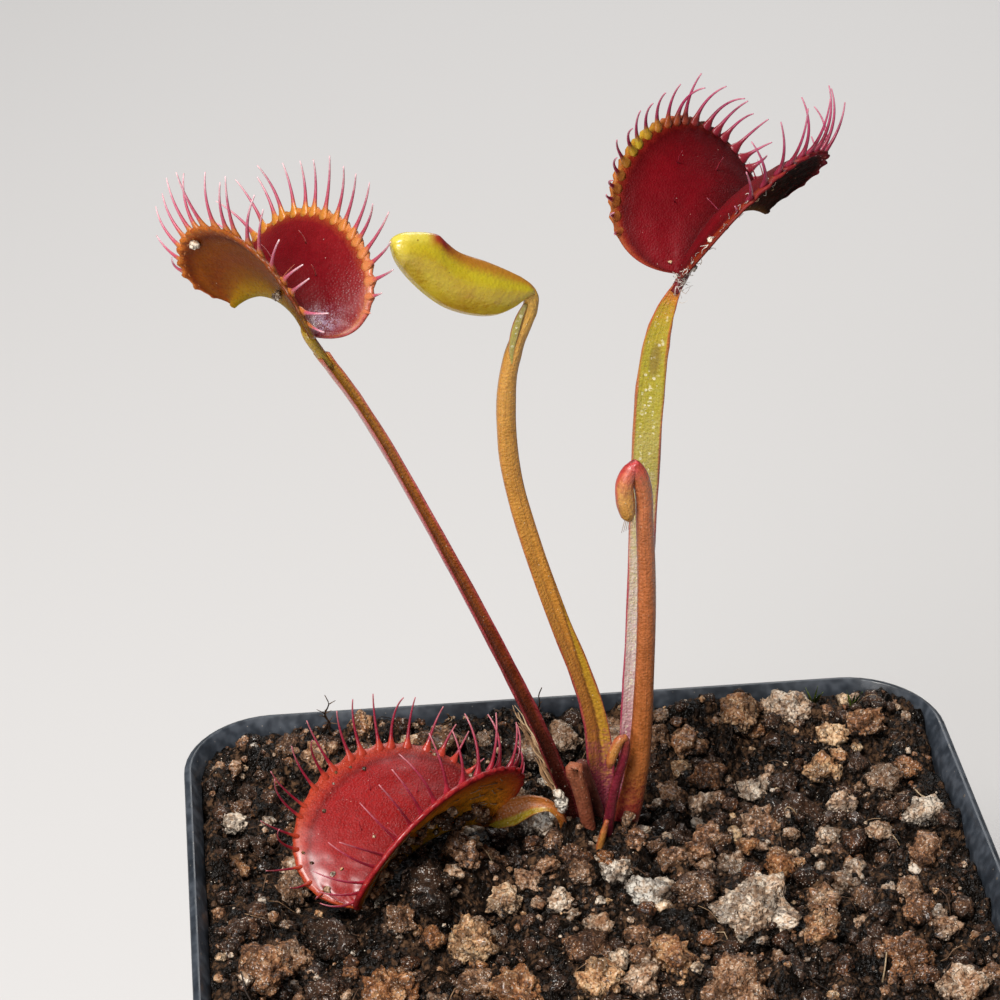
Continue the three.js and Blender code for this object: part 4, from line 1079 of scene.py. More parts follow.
def build_stalks():
    red = stalk_material(
        "stalk_red",
        [(0, 0.035, 0.004, 0.004), (0.2, 0.032, 0.004, 0.003), (0.38, 0.06, 0.008, 0.003),
         (0.55, 0.2, 0.032, 0.005),
         (0.75, 0.34, 0.1, 0.009), (1, 0.5, 0.24, 0.012)],
        [(0, 0.06, 0.006, 0.006), (0.2, 0.09, 0.008, 0.009), (0.4, 0.22, 0.022, 0.028),
         (0.6, 0.42, 0.06, 0.07),
         (0.9, 0.5, 0.14, 0.12), (1, 0.42, 0.09, 0.05)],
        edge_start=0.5, painted_sparkle=0.12, gloss=0.28, coat=0.35,
    )
    tan = stalk_material(
        "stalk_tan",
        [(0, 0.16, 0.008, 0.03), (0.09, 0.34, 0.06, 0.09), (0.125, 0.46, 0.14, 0.09),
         (0.17, 0.5, 0.19, 0.04),
         (0.35, 0.52, 0.22, 0.03), (0.55, 0.54, 0.26, 0.045), (0.85, 0.5, 0.28, 0.045),
         (1, 0.42, 0.24, 0.02)],
        [(0, 0.14, 0.005, 0.025), (0.1, 0.32, 0.025, 0.06), (0.2, 0.38, 0.05, 0.06),
         (0.3, 0.42, 0.1, 0.03),
         (0.45, 0.48, 0.2, 0.03), (1, 0.46, 0.25, 0.03)],
        fold=[(0, 0.16, 0.008, 0.03), (0.09, 0.36, 0.07, 0.1), (0.125, 0.48, 0.17, 0.09),
              (0.17, 0.52, 0.27, 0.03),
              (0.3, 0.46, 0.26, 0.016), (0.4, 0.42, 0.16, 0.02), (1, 0.42, 0.2, 0.02)],
        fold_at=(0, 0.8), painted_sparkle=0.1, groove=0.7, edge_start=0.78, streaky=0.6,
    )
    green = stalk_material(
        "stalk_green",
        [(0, 0.22, 0.012, 0.04), (0.12, 0.4, 0.1, 0.15), (0.2, 0.54, 0.27, 0.29),
         (0.34, 0.68, 0.54, 0.48),
         (0.5, 0.46, 0.38, 0.1), (0.62, 0.36, 0.3, 0.016), (0.78, 0.38, 0.26, 0.005),
         (0.88, 0.46, 0.16, 0.006),
         (0.97, 0.3, 0.06, 0.01), (1, 0.16, 0.008, 0.01)],
        [(0, 0.2, 0.01, 0.04), (0.3, 0.4, 0.04, 0.09), (0.55, 0.38, 0.1, 0.04), (0.7, 0.42, 0.1, 0.015),
         (0.9, 0.4, 0.06, 0.01), (1, 0.2, 0.01, 0.01)],
        edge_start=0.76, painted_sparkle=0.12, coat=0.3, gloss=0.3, streaky=0.35, scaly=0.75,
    )
    stalk_material(
        "neck_red",
        [(0, 0.16, 0.01, 0.012), (1, 0.13, 0.006, 0.009)],
        [(0, 0.2, 0.02, 0.02), (1, 0.14, 0.008, 0.01)],
        painted_sparkle=0.2,
    )
    stalk_material(
        "neck_green",
        [(0, 0.38, 0.3, 0.015), (1, 0.4, 0.24, 0.016)],
        [(0, 0.3, 0.12, 0.012), (1, 0.36, 0.1, 0.02)],
        edge_start=0.7, coat=0.4,
    )
    low = stalk_material(
        "stalk_low",
        [(0, 0.2, 0.05, 0.015), (0.4, 0.28, 0.1, 0.01), (0.6, 0.34, 0.24, 0.01), (1, 0.3, 0.2, 0.01)],
        [(0, 0.12, 0.02, 0.01), (0.5, 0.26, 0.08, 0.012), (1, 0.26, 0.1, 0.012)],
        fold=[(0, 0.2, 0.045, 0.015), (0.5, 0.36, 0.11, 0.014), (1, 0.26, 0.07, 0.01)],
        fold_at=(-0.5, -0.5), edge_start=0.85,
    )
    dry = stalk_material(
        "dry_leaf",
        [(0, 0.05, 0.01, 0.009), (1, 0.11, 0.028, 0.016)],
        [(0, 0.04, 0.008, 0.008), (1, 0.09, 0.025, 0.015)],
        gloss=0.45,
    )
    young = stalk_material(
        "young_orange",
        [(0, 0.1, 0.004, 0.01), (0.16, 0.2, 0.012, 0.018), (0.22, 0.24, 0.03, 0.018),
         (0.3, 0.4, 0.12, 0.025),
         (0.8, 0.46, 0.14, 0.05), (0.94, 0.42, 0.06, 0.04), (1, 0.5, 0.06, 0.06)],
        [(0, 0.08, 0.004, 0.01), (0.3, 0.28, 0.07, 0.02), (0.85, 0.36, 0.07, 0.03),
         (1, 0.42, 0.03, 0.04)],
        edge_start=0.8, painted_sparkle=0.06, coat=0.35,
    )
    tiny = stalk_material(
        "young_crimson",
        [(0, 0.08, 0.003, 0.01), (0.6, 0.2, 0.014, 0.03), (0.85, 0.28, 0.05, 0.03), (1, 0.5, 0.18, 0.04)],
        [(0, 0.07, 0.003, 0.01), (1, 0.28, 0.05, 0.03)],
        edge_start=0.85, painted_sparkle=0.06, coat=0.3,
    )
    golden = stalk_material(
        "young_golden",
        [(0, 0.4, 0.12, 0.03), (0.6, 0.48, 0.2, 0.04), (1, 0.44, 0.1, 0.05)],
        [(0, 0.34, 0.07, 0.03), (1, 0.42, 0.13, 0.03)],
        coat=0.4,
    )
    bud = stalk_material(
        "bud_tan",
        [(0, 0.5, 0.06, 0.06), (0.3, 0.5, 0.12, 0.06), (0.5, 0.52, 0.24, 0.05), (1, 0.46, 0.22, 0.035)],
        [(0, 0.45, 0.03, 0.04), (0.6, 0.42, 0.07, 0.03), (1, 0.34, 0.12, 0.03)],
        edge_start=0.7, painted_sparkle=0.06, coat=0.35,
    )
    remains = stalk_material(
        "stump_clay",
        [(0, 0.12, 0.02, 0.012), (0.5, 0.22, 0.055, 0.025), (1, 0.32, 0.1, 0.045)],
        [(0, 0.1, 0.02, 0.012), (1, 0.24, 0.06, 0.025)],
        gloss=0.6, coat=0.0,
    )
    build_blade("petiole_left", red, "stalk_red", ruffle=0.1)
    build_blade("petiole_middle", tan, "stalk_tan", rows=84, ruffle=0.08, groove=0.3)
    build_blade("petiole_right", green, "stalk_green", ruffle=0.06, keel=0.1)
    build_blade("petiole_low", low, "stalk_tan", rows=40, keel=0.1)
    build_blade("sheath", dry, "dry_leaf", rows=24, keel=0, ruffle=0.2)
    build_stem("leaf_young", young, "young_orange", bud_material=bud)
    build_stem("leaf_tiny", tiny, "young_orange", rows=30, bud_material=golden)
    build_stem("leaf_bud", golden, "young_orange", rows=20)
    build_stem("stump", remains, "stalk_red", rows=24, ragged=1.2)
    build_wing(green)


def build_wing(material):
    """Thin free edge of the middle stalk, just under its hooked top."""
    route = Route([
        (-6.5, 16.6, 134.6), (-7.1, 16.5, 133.2), (-7.5, 16.5, 131.7), (-7.75, 16.6, 130),
        (-7.7, 16.7, 128.2),
    ])
    flat = lambda t: (0.08 + 0.32 * math.sin(math.pi * min(t * 0.9 + 0.12, 1)), 0.14)
    dress(round_tube("petiole_middle_wing", route, flat, 16, 24, lies=0.52), material, "stalk_green")


# ---------------------------------------------------------------- open traps

class TrapSurface:
    """The bent sheet of an open trap, in its own axes: y along the midrib, z out of its mouth."""

    def __init__(self, trap):
        self.trap = trap
        self.oval_height = trap["depth"] - trap["oval_offset"]
        self.start = math.asin(trap["oval_offset"] / self.oval_height)
        self.rib_end = trap["half_length"] * math.cos(self.start)
        self.base = self.bend(1, -self.rib_end, 0)
        turn = [Matrix.Rotation(math.radians(trap[label]), 3, axis)
                for label, axis in (("heading", "Z"), ("pitch", "X"), ("roll", "Y"))]
        self.turn = turn[0] @ turn[1] @ turn[2]

    def bend(self, side, a, b):
        which = 0 if side < 0 else 1
        lean, bow = math.radians(self.trap["open"][which]), self.trap["curl"][which]
        lean_here = lean + bow * b
        across = (math.cos(lean) - math.cos(lean_here)) / bow
        rise = (math.sin(lean_here) - math.sin(lean)) / bow
        arch = self.trap["arch"]
        radius, turn = 1 / arch + rise, arch * a
        return Vector((side * across, math.sin(turn) * radius, math.cos(turn) * radius - 1 / arch))

    def point(self, side, u, w):
        """u runs from the stalk to the tip, w from the midrib (0) to the margin (1)."""
        angle = math.pi + self.start - u * (math.pi + 2 * self.start)
        margin_a = self.trap["half_length"] * math.cos(angle)
        margin_b = max(self.trap["oval_offset"] + self.oval_height * math.sin(angle), 0)
        rib = mix(-self.rib_end, self.rib_end, u)
        return self.bend(side, mix(rib, margin_a, w), margin_b * w) - self.base

    def rib_normal(self, u):
        turn = self.trap["arch"] * mix(-self.rib_end, self.rib_end, u)
        return Vector((0, math.sin(turn), math.cos(turn)))

    def frame(self, side, u, w):
        """Directions along the lobe, out towards its margin, and into the trap."""
        step = 0.01
        along = self.point(side, min(u + step, 1), w) - self.point(side, max(u - step, 0), w)
        along.normalize()
        outward = self.point(side, u, min(w + step, 1)) - self.point(side, u, max(w - step, 0))
        outward = (outward - along * outward.dot(along)).normalized()
        inward = along.cross(outward) * -side
        if inward.dot(self.rib_normal(u)) < 0:
            inward.negate()
        return along, outward, inward

    def placed(self, local):
        return self.turn @ local + Vector(self.trap["base"])

    def above(self, side, u, w, height):
        """Placed point at a height over the sheet, on the inside of the trap."""
        return self.placed(self.point(side, u, w) + self.frame(side, u, w)[2] * height)


def trap_spots(label):
    """Points spread over a trap's lobes, in mm."""
    surface = TrapSurface(OPEN_TRAPS[label])
    return [surface.placed(surface.point(side, u / 14, w / 8))
            for side in (-1, 1) for u in range(15) for w in range(9)]


LOW_TRAP_SPOTS = trap_spots("low")


def margin_places(surface, side, count):
    """Evenly spaced places along a lobe's margin, as values of u."""
    steps = 120
    stops = [mix(0.05, 0.955, i / steps) for i in range(steps + 1)]
    points = [surface.point(side, u, 1) for u in stops]
    run = [0]
    for a, b in zip(points, points[1:]):
        run.append(run[-1] + (b - a).length)
    places = []
    for k in range(count):
        wanted = run[-1] * (k + 0.5) / count
        i = next(j for j in range(1, steps + 1) if run[j] >= wanted)
        places.append(mix(stops[i - 1], stops[i], (wanted - run[i - 1]) / (run[i] - run[i - 1])))
    return places


def tooth_plan(trap, surface):
    """Place, length, lean and sway of every tooth of a trap."""
    chance = random.Random(trap["seed"])
    plan = []
    for which, side in enumerate((-1, 1)):
        places = margin_places(surface, side, trap["teeth"][which])
        spacing = places[len(places) // 2 + 1] - places[len(places) // 2]
        for u in places:
            u += chance.uniform(-0.18, 0.18) * spacing
            swell = mix(0.16, 1, smooth(0.05, 0.45, u)) * mix(1, 0.3, smooth(0.7, 0.97, u))
            swell *= smooth(*trap["teeth_from"][which], u)
            length = trap["tooth_length"][which] * swell * chance.uniform(0.85, 1.06)
            lean = trap["lean"][which] * chance.uniform(0.85, 1.15)
            lean *= mix(1, trap["far_lean"], smooth(0.5, 0.85, u))
            sway = chance.uniform(-0.12, 0.12) + 0.16 * (u - 0.5)
            foot = mix(0.15, 1, smooth(0, 0.8, swell)) * mix(1, trap["far_foot"], smooth(0.45, 0.65, u))
            if length > 0.45 and u < trap["teeth_to"]:
                plan.append((side, u, length, lean, sway, foot))
    return plan


LOBE_SIDES = 80
LOBE_ROWS = 120
RIM_ROUND = 4  # section points round each rim


def lobe_ring(k):
    """Where one point of the section lies: (signed w, turn round the rim in degrees, 90 inside)."""
    face = LOBE_SIDES // 2 - RIM_ROUND
    if k < face:
        return mix(-1, 1, k / (face - 1)), 90
    k -= face
    if k < RIM_ROUND:
        return 1, 90 - 180 * (k + 1) / (RIM_ROUND + 1)
    k -= RIM_ROUND
    if k < face:
        return mix(1, -1, k / (face - 1)), -90
    k -= face
    return -1, -90 + 180 * (k + 1) / (RIM_ROUND + 1)


def build_lobes(name, trap, surface, plan, inner, outer, slot):
    rib_depth = 0.67
    roots = {side: [(u, foot) for s, u, *_, foot in plan if s == side] for side in (-1, 1)}

    def where(u, k):
        v, turn = lobe_ring(k)
        side = -1 if v < 0 else 1
        w = abs(v)
        rim_half = mix(0.33, trap["rim"][0 if side < 0 else 1], smooth(0.5, 0.9, w))
        inside_u = min(max(u, 0.004), 0.996)
        place = surface.point(side, inside_u, w)
        _, outward, inward = surface.frame(side, inside_u, max(w, 0.02))
        rib = surface.rib_normal(inside_u)
        normal = rib.lerp(inward, smooth(0, 0.16, w)).normalized()
        swell = max([0] + [foot * math.exp(-(((u - root) / 0.011) ** 2)) for root, foot in roots[side]])
        near_rim = smooth(0.9, 1, w)
        back = mix(rib_depth, rim_half, smooth(0, 0.3, w))
        level = math.sin(math.radians(turn))
        thin = mix(0.45, 1, smooth(0.02, 0.4, inside_u))
        thick = rim_half * mix(1, thin, near_rim) - 0.06 * near_rim
        crease = trap["crease"] * math.exp(-(((w - 0.87) / 0.035) ** 2))
        height = level * thick - crease if level > 0 else level * back
        bulge = (math.cos(math.radians(turn)) * rim_half + near_rim * (0.4 * swell - 0.2)) * thin
        dimple = 0.12 * noise.noise(Vector((u * 5, v * 4, trap["seed"])))
        dimple += 0.07 * noise.noise(Vector((u * 24, v * 14, 4)))
        height += dimple * smooth(0.05, 0.35, w) * (1 - near_rim)
        point = place + normal * height + outward * bulge
        return surface.placed(point), (u, v, level)

    piece = shaped_tube(name + "_lobes", LOBE_SIDES, LOBE_ROWS, where)
    turn_faces_out(piece)
    dress(piece, inner, slot, name)
    piece.data.materials.append(outer)
    levels = [place.vector.z for place in piece.data.attributes["place"].data]
    for face in piece.data.polygons:
        face.material_index = 1 if sum(levels[i] for i in face.vertices) < 0 else 0
    return piece


TOOTH_ROOT = 0.6  # how far a tooth reaches into its lobe


def build_teeth(name, surface, plan, material, slot):
    """Slender curved teeth, each on a cone that widens along the rim it grows from."""
    teeth = []
    sides, rows, steps = 8, 14, 9
    for number, (side, u, length, lean, sway, foot) in enumerate(plan):
        along, outward, inward = surface.frame(side, u, 0.98)
        whole = length + TOOTH_ROOT
        hook = 1 + 0.18 * math.sin(number * 2.4)
        points = [surface.point(side, u, 1) - outward * TOOTH_ROOT]
        for i in range(1, steps + 1):
            part = max(whole * i / steps - TOOTH_ROOT, 0) / length
            turn = math.radians(lean) * mix(0.55, 1.25 * hook, part)
            heading = outward * math.cos(turn) + inward * math.sin(turn) + along * sway * (0.4 + part)
            points.append(points[-1] + heading.normalized() * whole / steps)
        route = Route([surface.placed(p) for p in points])
        along_rim = surface.turn @ along

        def where(t, k):
            heading = route.tangent(t)
            wide = (along_rim - heading * along_rim.dot(heading)).normalized()
            deep = wide.cross(heading)
            turn = k / sides * 2 * math.pi
            shaft = mix(0.22, 0.065, t ** 0.8) * mix(0.7, 1, foot)
            cone = foot * math.exp(-max(t * whole - 0.55, 0) / 0.42)
            point = route.point(t) + wide * (shaft + 0.34 * cone) * math.cos(turn)
            return point + deep * (shaft + 0.1 * cone) * math.sin(turn), (t * whole, t, side * u)

        teeth.append(shaped_tube("tooth", sides, rows, where))
    piece = join(name + "_teeth", teeth)
    turn_faces_out(piece)
    return dress(piece, material, slot)


def build_triggers(name, surface, material, slot):
    """Three short stiff hairs on the inside of each lobe."""
    hairs = []
    for side in (-1, 1):
        for u, w in ((0.38, 0.42), (0.62, 0.42), (0.5, 0.62)):
            _, outward, inward = surface.frame(side, u, w)
            start = surface.point(side, u, w) + inward * 0.2
            tip = start + inward * 1.7 + outward * 0.5
            points = [surface.placed(p) for p in (start, start.lerp(tip, 0.5) + outward * 0.1, tip)]
            hairs.append(strand("hair", points, 0.07, 0.02, 4, 4, lies=4))
    return dress(join(name + "_triggers", hairs), material, slot)


def build_neck(name, trap, surface, material, slot):
    """Short neck from the underside of the midrib down into the stalk."""
    stalk = Route(BLADES[trap["stalk"]]["path"])
    end = stalk.point(trap["stalk_end"])
    start = surface.placed(surface.point(1, 0.16, 0) - surface.rib_normal(0.16) * 0.2)
    under = surface.placed(surface.point(1, 0.07, 0) - surface.rib_normal(0.07) * 0.3)
    bend = surface.placed(surface.point(1, 0.0, 0) - surface.rib_normal(0) * 0.35)
    route = Route([start, under, bend, bend.lerp(end, 0.5), end])
    wide = 0.85 * stalk.value(trap["stalk_end"], 0) / 2

    def radius(t):
        grown = smooth(0, 0.3, t)
        return mix(0.15, mix(0.56, wide, t), grown), mix(0.15, 0.52, grown)

    return dress(round_tube(name + "_neck", route, radius, 16, 18, lies=1), material, slot)


def trap_material(name, flesh, rims, rim_start=0.94, inside=True, gloss=0.35, depth=0.08, coat=0.35,
                  cells=3000, dirt=0.0, painted_shade_along=(0.45, 0.8, 1.0), wet_foot=1.0, painted_highlight=0.0):
    """One face of the lobes, coloured from the midrib out. rims gives each lobe's edge from stalk to tip.

    darker is painted shade: how its brightness falls along it, and wet_foot how much more it
    shines by the stalk, where bloom lays a pale painted highlight on the right lobe.
    """
    material, shader, principled = new_material(
        name, Coat_Roughness=0.28, Subsurface_Weight=0.12, Subsurface_Radius=(1, 0.25, 0.15),
        Subsurface_Scale=0.0007, Specular_IOR_Level=0.1 if inside else 0.03,
    )
    along, across, _ = shader.place()
    patches = shader.mottling(260, 0.25)
    fine = shader.mottling(1500, 0.5)
    wobble = shader.swing(fine, 0.03)
    w = shader.plus(shader.math("ABSOLUTE", across), wobble)
    left_stops, right_stops = flesh if isinstance(flesh, tuple) else (flesh, flesh)
    which = shader.fit(across, -0.1, 0.1)
    lobe = shader.blend(which, shader.ramp(w, left_stops), shader.ramp(w, right_stops))
    rim = shader.blend(which, shader.ramp(along, rims[0]), shader.ramp(along, rims[1]))
    uneven = shader.blend(shader.fit(fine, 0.3, 1.0, 0.0, 0.45), rim, (0.3, 0.03, 0.01))
    banded = shader.blend(shader.fit(w, rim_start, rim_start + 0.05), lobe, uneven)
    even = shader.plus(shader.fit(patches, 0.0, 1.0, 0.84, 1.02), shader.times(fine, 0.14))
    # Painted shade: darker along the lobe towards one end, over its random mottling.
    shade = shader.times(even, shader.fit(along, painted_shade_along[0], painted_shade_along[1], 1.0, painted_shade_along[2]))
    shaded = shader.dim(banded, shade)
    dotted = shader.sprinkle(shaded, (0.1, 0.004, 0.004), 0.3, 4200, 0.5, 0.5)
    flecks_and_painted_highlights = shader.sprinkle(dotted, (0.7, 0.6, 0.5), 0.5, 2600, 0.035, 0.3)
    if dirt:
        caked = shader.fit(shader.plus(fine, shader.times(w, 0.5)), 0.85, 0.5, 0.0, dirt)
        flecks_and_painted_highlights = shader.blend(caked, flecks_and_painted_highlights, (0.035, 0.018, 0.01))
        flecks_and_painted_highlights = shader.sprinkle(flecks_and_painted_highlights, (0.34, 0.22, 0.12), 0.6, 1800, 0.16, 0.35)
    # Painted highlight: a pale, grainy lilac patch on the right lobe by the stalk, away from its margin.
    if painted_highlight:
        painted_highlight_patch = shader.times(shader.fit(along, 0.27, 0.12), shader.fit(across, 0.05, 0.25))
        edge = shader.times(painted_highlight_patch, shader.fit(across, 0.85, 0.55))
        painted_highlight_mask = shader.times(edge, shader.fit(fine, 0.4, 0.7, 0.15 * painted_highlight, painted_highlight))
        flecks_and_painted_highlights = shader.blend(painted_highlight_mask, flecks_and_painted_highlights, (0.5, 0.42, 0.56))
    if inside:
        film = shader.fit(patches, 0.2, 0.8, 0.6 * coat, coat)
        shine = shader.times(film, shader.fit(along, 0.4, 0.12, 1.0, wet_foot))
        shader.tree.links.new(shine, principled.inputs["Coat Weight"])
    pebbles = shader.pebbling(cells, 0.3)
    roughness = shader.fit(fine, 0.1, 0.9, gloss - 0.05, gloss + 0.12)
    finish_surface(shader, principled, flecks_and_painted_highlights, roughness, pebbles, depth)
    return material


def tooth_material(name, roots, shaft, gloss=0.35):
    """Teeth whose conical foot is coloured by its height in mm, and the shaft by its length.

    roots are the foot's colours on one lobe and the other, each from the stalk to the tip.
    """
    material, shader, principled = new_material(
        name, Coat_Weight=0.25, Coat_Roughness=0.25, Subsurface_Weight=0.15,
        Subsurface_Radius=(1, 0.4, 0.3), Subsurface_Scale=0.0006, Specular_IOR_Level=0.35,
    )
    height, part, lobe = shader.place()
    patches = shader.mottling(900, 0.5)
    uneven = shader.swing(patches, 0.5)
    body = shader.ramp(shader.plus(part, shader.times(uneven, 0.4)), shaft)
    spot = shader.math("ABSOLUTE", lobe)
    which = shader.fit(lobe, -0.02, 0.02)
    root = shader.blend(which, shader.ramp(spot, roots[0]), shader.ramp(spot, roots[1]))
    foot = shader.fit(shader.plus(height, uneven), 1.7, 0.9)
    colour = shader.blend(foot, body, root)
    roughness = shader.fit(patches, 0.0, 1.0, gloss, gloss + 0.15)
    pebbles = shader.pebbling(4000, 0.5)
    finish_surface(shader, principled, colour, roughness, pebbles, 0.04)
    return material


NECK_LOOKS = {"left": "neck_green", "right": "neck_red", "low": "stalk_low"}


ORANGE = (0.52, 0.19, 0.02)
PINK = (0.4, 0.06, 0.06)
CRIMSON = (0.2, 0.012, 0.022)
SCARLET = (0.4, 0.04, 0.015)


def left_trap_looks():
    rims = (
        [(0, 0.3, 0.2, 0.015), (0.14, 0.26, 0.16, 0.014), (0.28, 0.1, 0.03, 0.008),
         (0.45, 0.17, 0.05, 0.01),
         (0.66, 0.42, 0.13, 0.02), (0.85, 0.42, 0.13, 0.02), (1, *CRIMSON)],
        [(0, 0.2, 0.015, 0.03), (0.2, 0.34, 0.06, 0.05), (0.38, 0.5, 0.18, 0.07), (0.6, *ORANGE),
         (1, *ORANGE)],
    )
    # Its inside has a pale painted highlight by the stalk.
    inner = trap_material(
        "trap_left_inner",
        [(0, 0.18, 0.05, 0.008), (0.06, 0.08, 0.004, 0.004), (0.5, 0.14, 0.002, 0.005),
         (0.86, 0.17, 0.005, 0.007), (0.93, 0.24, 0.028, 0.01), (1, 0.42, 0.14, 0.015)],
        rims, depth=0.07, coat=0.36, cells=4200, rim_start=0.955, wet_foot=2, painted_highlight=0.5,
    )
    # Its outside has painted shade, darker towards the stalk.
    outer = trap_material(
        "trap_left_outer",
        [(0, 0.27, 0.18, 0.004), (0.1, 0.26, 0.13, 0.004), (0.25, 0.19, 0.065, 0.006),
         (0.5, 0.18, 0.04, 0.006),
         (0.75, 0.17, 0.042, 0.003), (0.9, 0.1, 0.018, 0.003), (1, 0.26, 0.06, 0.01)],
        rims, inside=False, gloss=0.4, rim_start=0.955, painted_shade_along=(0.55, 0.25, 0.8),
    )
    teeth = tooth_material(
        "teeth_left",
        ([(0, 0.2, 0.03, 0.015), (0.3, 0.4, 0.12, 0.02), (0.9, 0.42, 0.13, 0.02), (1, *PINK)],
         [(0, *PINK), (0.3, 0.5, 0.16, 0.06), (0.55, *ORANGE), (1, *ORANGE)]),
        [(0, 0.42, 0.1, 0.05), (0.3, 0.4, 0.05, 0.08), (0.6, 0.44, 0.1, 0.16), (1, 0.68, 0.46, 0.48)],
    )
    return "trap_red", inner, outer, teeth


def right_trap_looks():
    rims = (
        [(0, 0.2, 0.015, 0.025), (0.15, 0.24, 0.03, 0.02), (0.3, 0.34, 0.12, 0.02),
         (0.42, 0.36, 0.15, 0.016),
         (0.47, 0.46, 0.36, 0.02), (0.55, 0.34, 0.07, 0.01), (0.75, 0.12, 0.008, 0.006),
         (1, 0.08, 0.004, 0.004)],
        [(0, 0.24, 0.07, 0.012), (0.12, 0.12, 0.012, 0.008), (0.35, 0.1, 0.006, 0.01),
         (0.5, 0.2, 0.012, 0.03),
         (1, 0.2, 0.012, 0.03)],
    )
    # Its inside has painted shade, darker towards the tip.
    inner = trap_material(
        "trap_right_inner",
        [(0, 0.13, 0.005, 0.008), (0.06, 0.06, 0.001, 0.002), (0.3, 0.125, 0.001, 0.004),
         (0.7, 0.135, 0.001, 0.004),
         (0.88, 0.08, 0.001, 0.002), (0.93, 0.14, 0.006, 0.003), (1, 0.26, 0.04, 0.006)],
        rims, gloss=0.5, coat=0.06, depth=0.055, cells=5600, rim_start=0.965, painted_shade_along=(0.45, 0.8, 0.42),
    )
    outer = trap_material(
        "trap_right_outer",
        [(0, 0.12, 0.05, 0.01), (0.12, 0.02, 0.005, 0.002), (0.7, 0.005, 0.001, 0.0006),
         (0.9, 0.01, 0.0015, 0.001),
         (1, 0.08, 0.007, 0.007)],
        rims, inside=False, gloss=0.8, rim_start=0.965, dirt=0.25,
    )
    teeth = tooth_material(
        "teeth_right",
        ([(0, *CRIMSON), (0.2, 0.3, 0.07, 0.02), (0.4, 0.36, 0.13, 0.02), (0.46, 0.46, 0.32, 0.02),
          (0.54, 0.34, 0.08, 0.02), (0.64, *CRIMSON), (1, *CRIMSON)],
         [(0, 0.2, 0.03, 0.01), (0.4, 0.24, 0.014, 0.04), (1, 0.34, 0.04, 0.08)]),
        [(0, 0.2, 0.01, 0.02), (0.25, 0.2, 0.008, 0.03), (0.6, 0.34, 0.035, 0.1), (1, 0.48, 0.18, 0.24)],
    )
    return "trap_red", inner, outer, teeth


def low_trap_looks():
    rims = (
        [(0, *SCARLET), (0.2, 0.3, 0.012, 0.018), (1, 0.3, 0.012, 0.018)],
        [(0, 0.3, 0.02, 0.012), (0.6, *SCARLET), (1, 0.4, 0.06, 0.016)],
    )
    # Its inside has painted shade, darker towards the stalk.
    inner = trap_material(
        "trap_low_inner",
        [(0, 0.12, 0.005, 0.004), (0.08, 0.17, 0.004, 0.004), (0.4, 0.25, 0.006, 0.006),
         (0.8, 0.27, 0.008, 0.008),
         (0.85, 0.17, 0.005, 0.004), (0.9, 0.3, 0.018, 0.01), (1, 0.4, 0.045, 0.016)],
        rims, gloss=0.34, depth=0.12, coat=0.75, cells=4600, painted_shade_along=(0.5, 0.15, 0.55), wet_foot=0.15,
    )
    outer = trap_material(
        "trap_low_outer",
        [(0, 0.75, 0.4, 0.025), (0.25, 0.8, 0.34, 0.022), (0.6, 0.75, 0.27, 0.02),
         (0.85, 0.5, 0.1, 0.015),
         (1, 0.3, 0.02, 0.015)],
        rims, inside=False, gloss=0.45, dirt=0.42,
    )
    teeth = tooth_material(
        "teeth_low",
        ([(0, 0.34, 0.014, 0.03), (1, 0.34, 0.014, 0.03)], [(0, 0.36, 0.03, 0.02),
        (1, 0.4, 0.05, 0.018)]),
        [(0, 0.34, 0.016, 0.03), (0.3, 0.22, 0.008, 0.022), (0.65, 0.3, 0.03, 0.06),
         (1, 0.46, 0.16, 0.18)],
        gloss=0.25,
    )
    return "trap_scarlet", inner, outer, teeth


def build_open_traps():
    looks = {"left": left_trap_looks(), "right": right_trap_looks(), "low": low_trap_looks()}
    for label, (slot, inner, outer, teeth) in looks.items():
        trap = OPEN_TRAPS[label]
        surface = TrapSurface(trap)
        plan = tooth_plan(trap, surface)
        name = "trap_" + label
        build_lobes(name, trap, surface, plan, inner, outer, slot)
        build_teeth(name, surface, plan, teeth, slot)
        build_triggers(name, surface, teeth, slot)
        build_neck(name, trap, surface, bpy.data.materials[NECK_LOOKS[label]], slot)


# ---------------------------------------------------------------- closed trap

def even_steps(route, count=200):
    """Places along a route, as t values that divide its length evenly."""
    run = [0]
    for i in range(count):
        run.append(run[-1] + (route.point((i + 1) / count) - route.point(i / count)).length)

    def at(part):
        wanted = part * run[-1]
        i = next((j for j in range(1, count + 1) if run[j] >= wanted), count)
        return (i - 1 + (wanted - run[i - 1]) / max(run[i] - run[i - 1], 1e-9)) / count

    return at


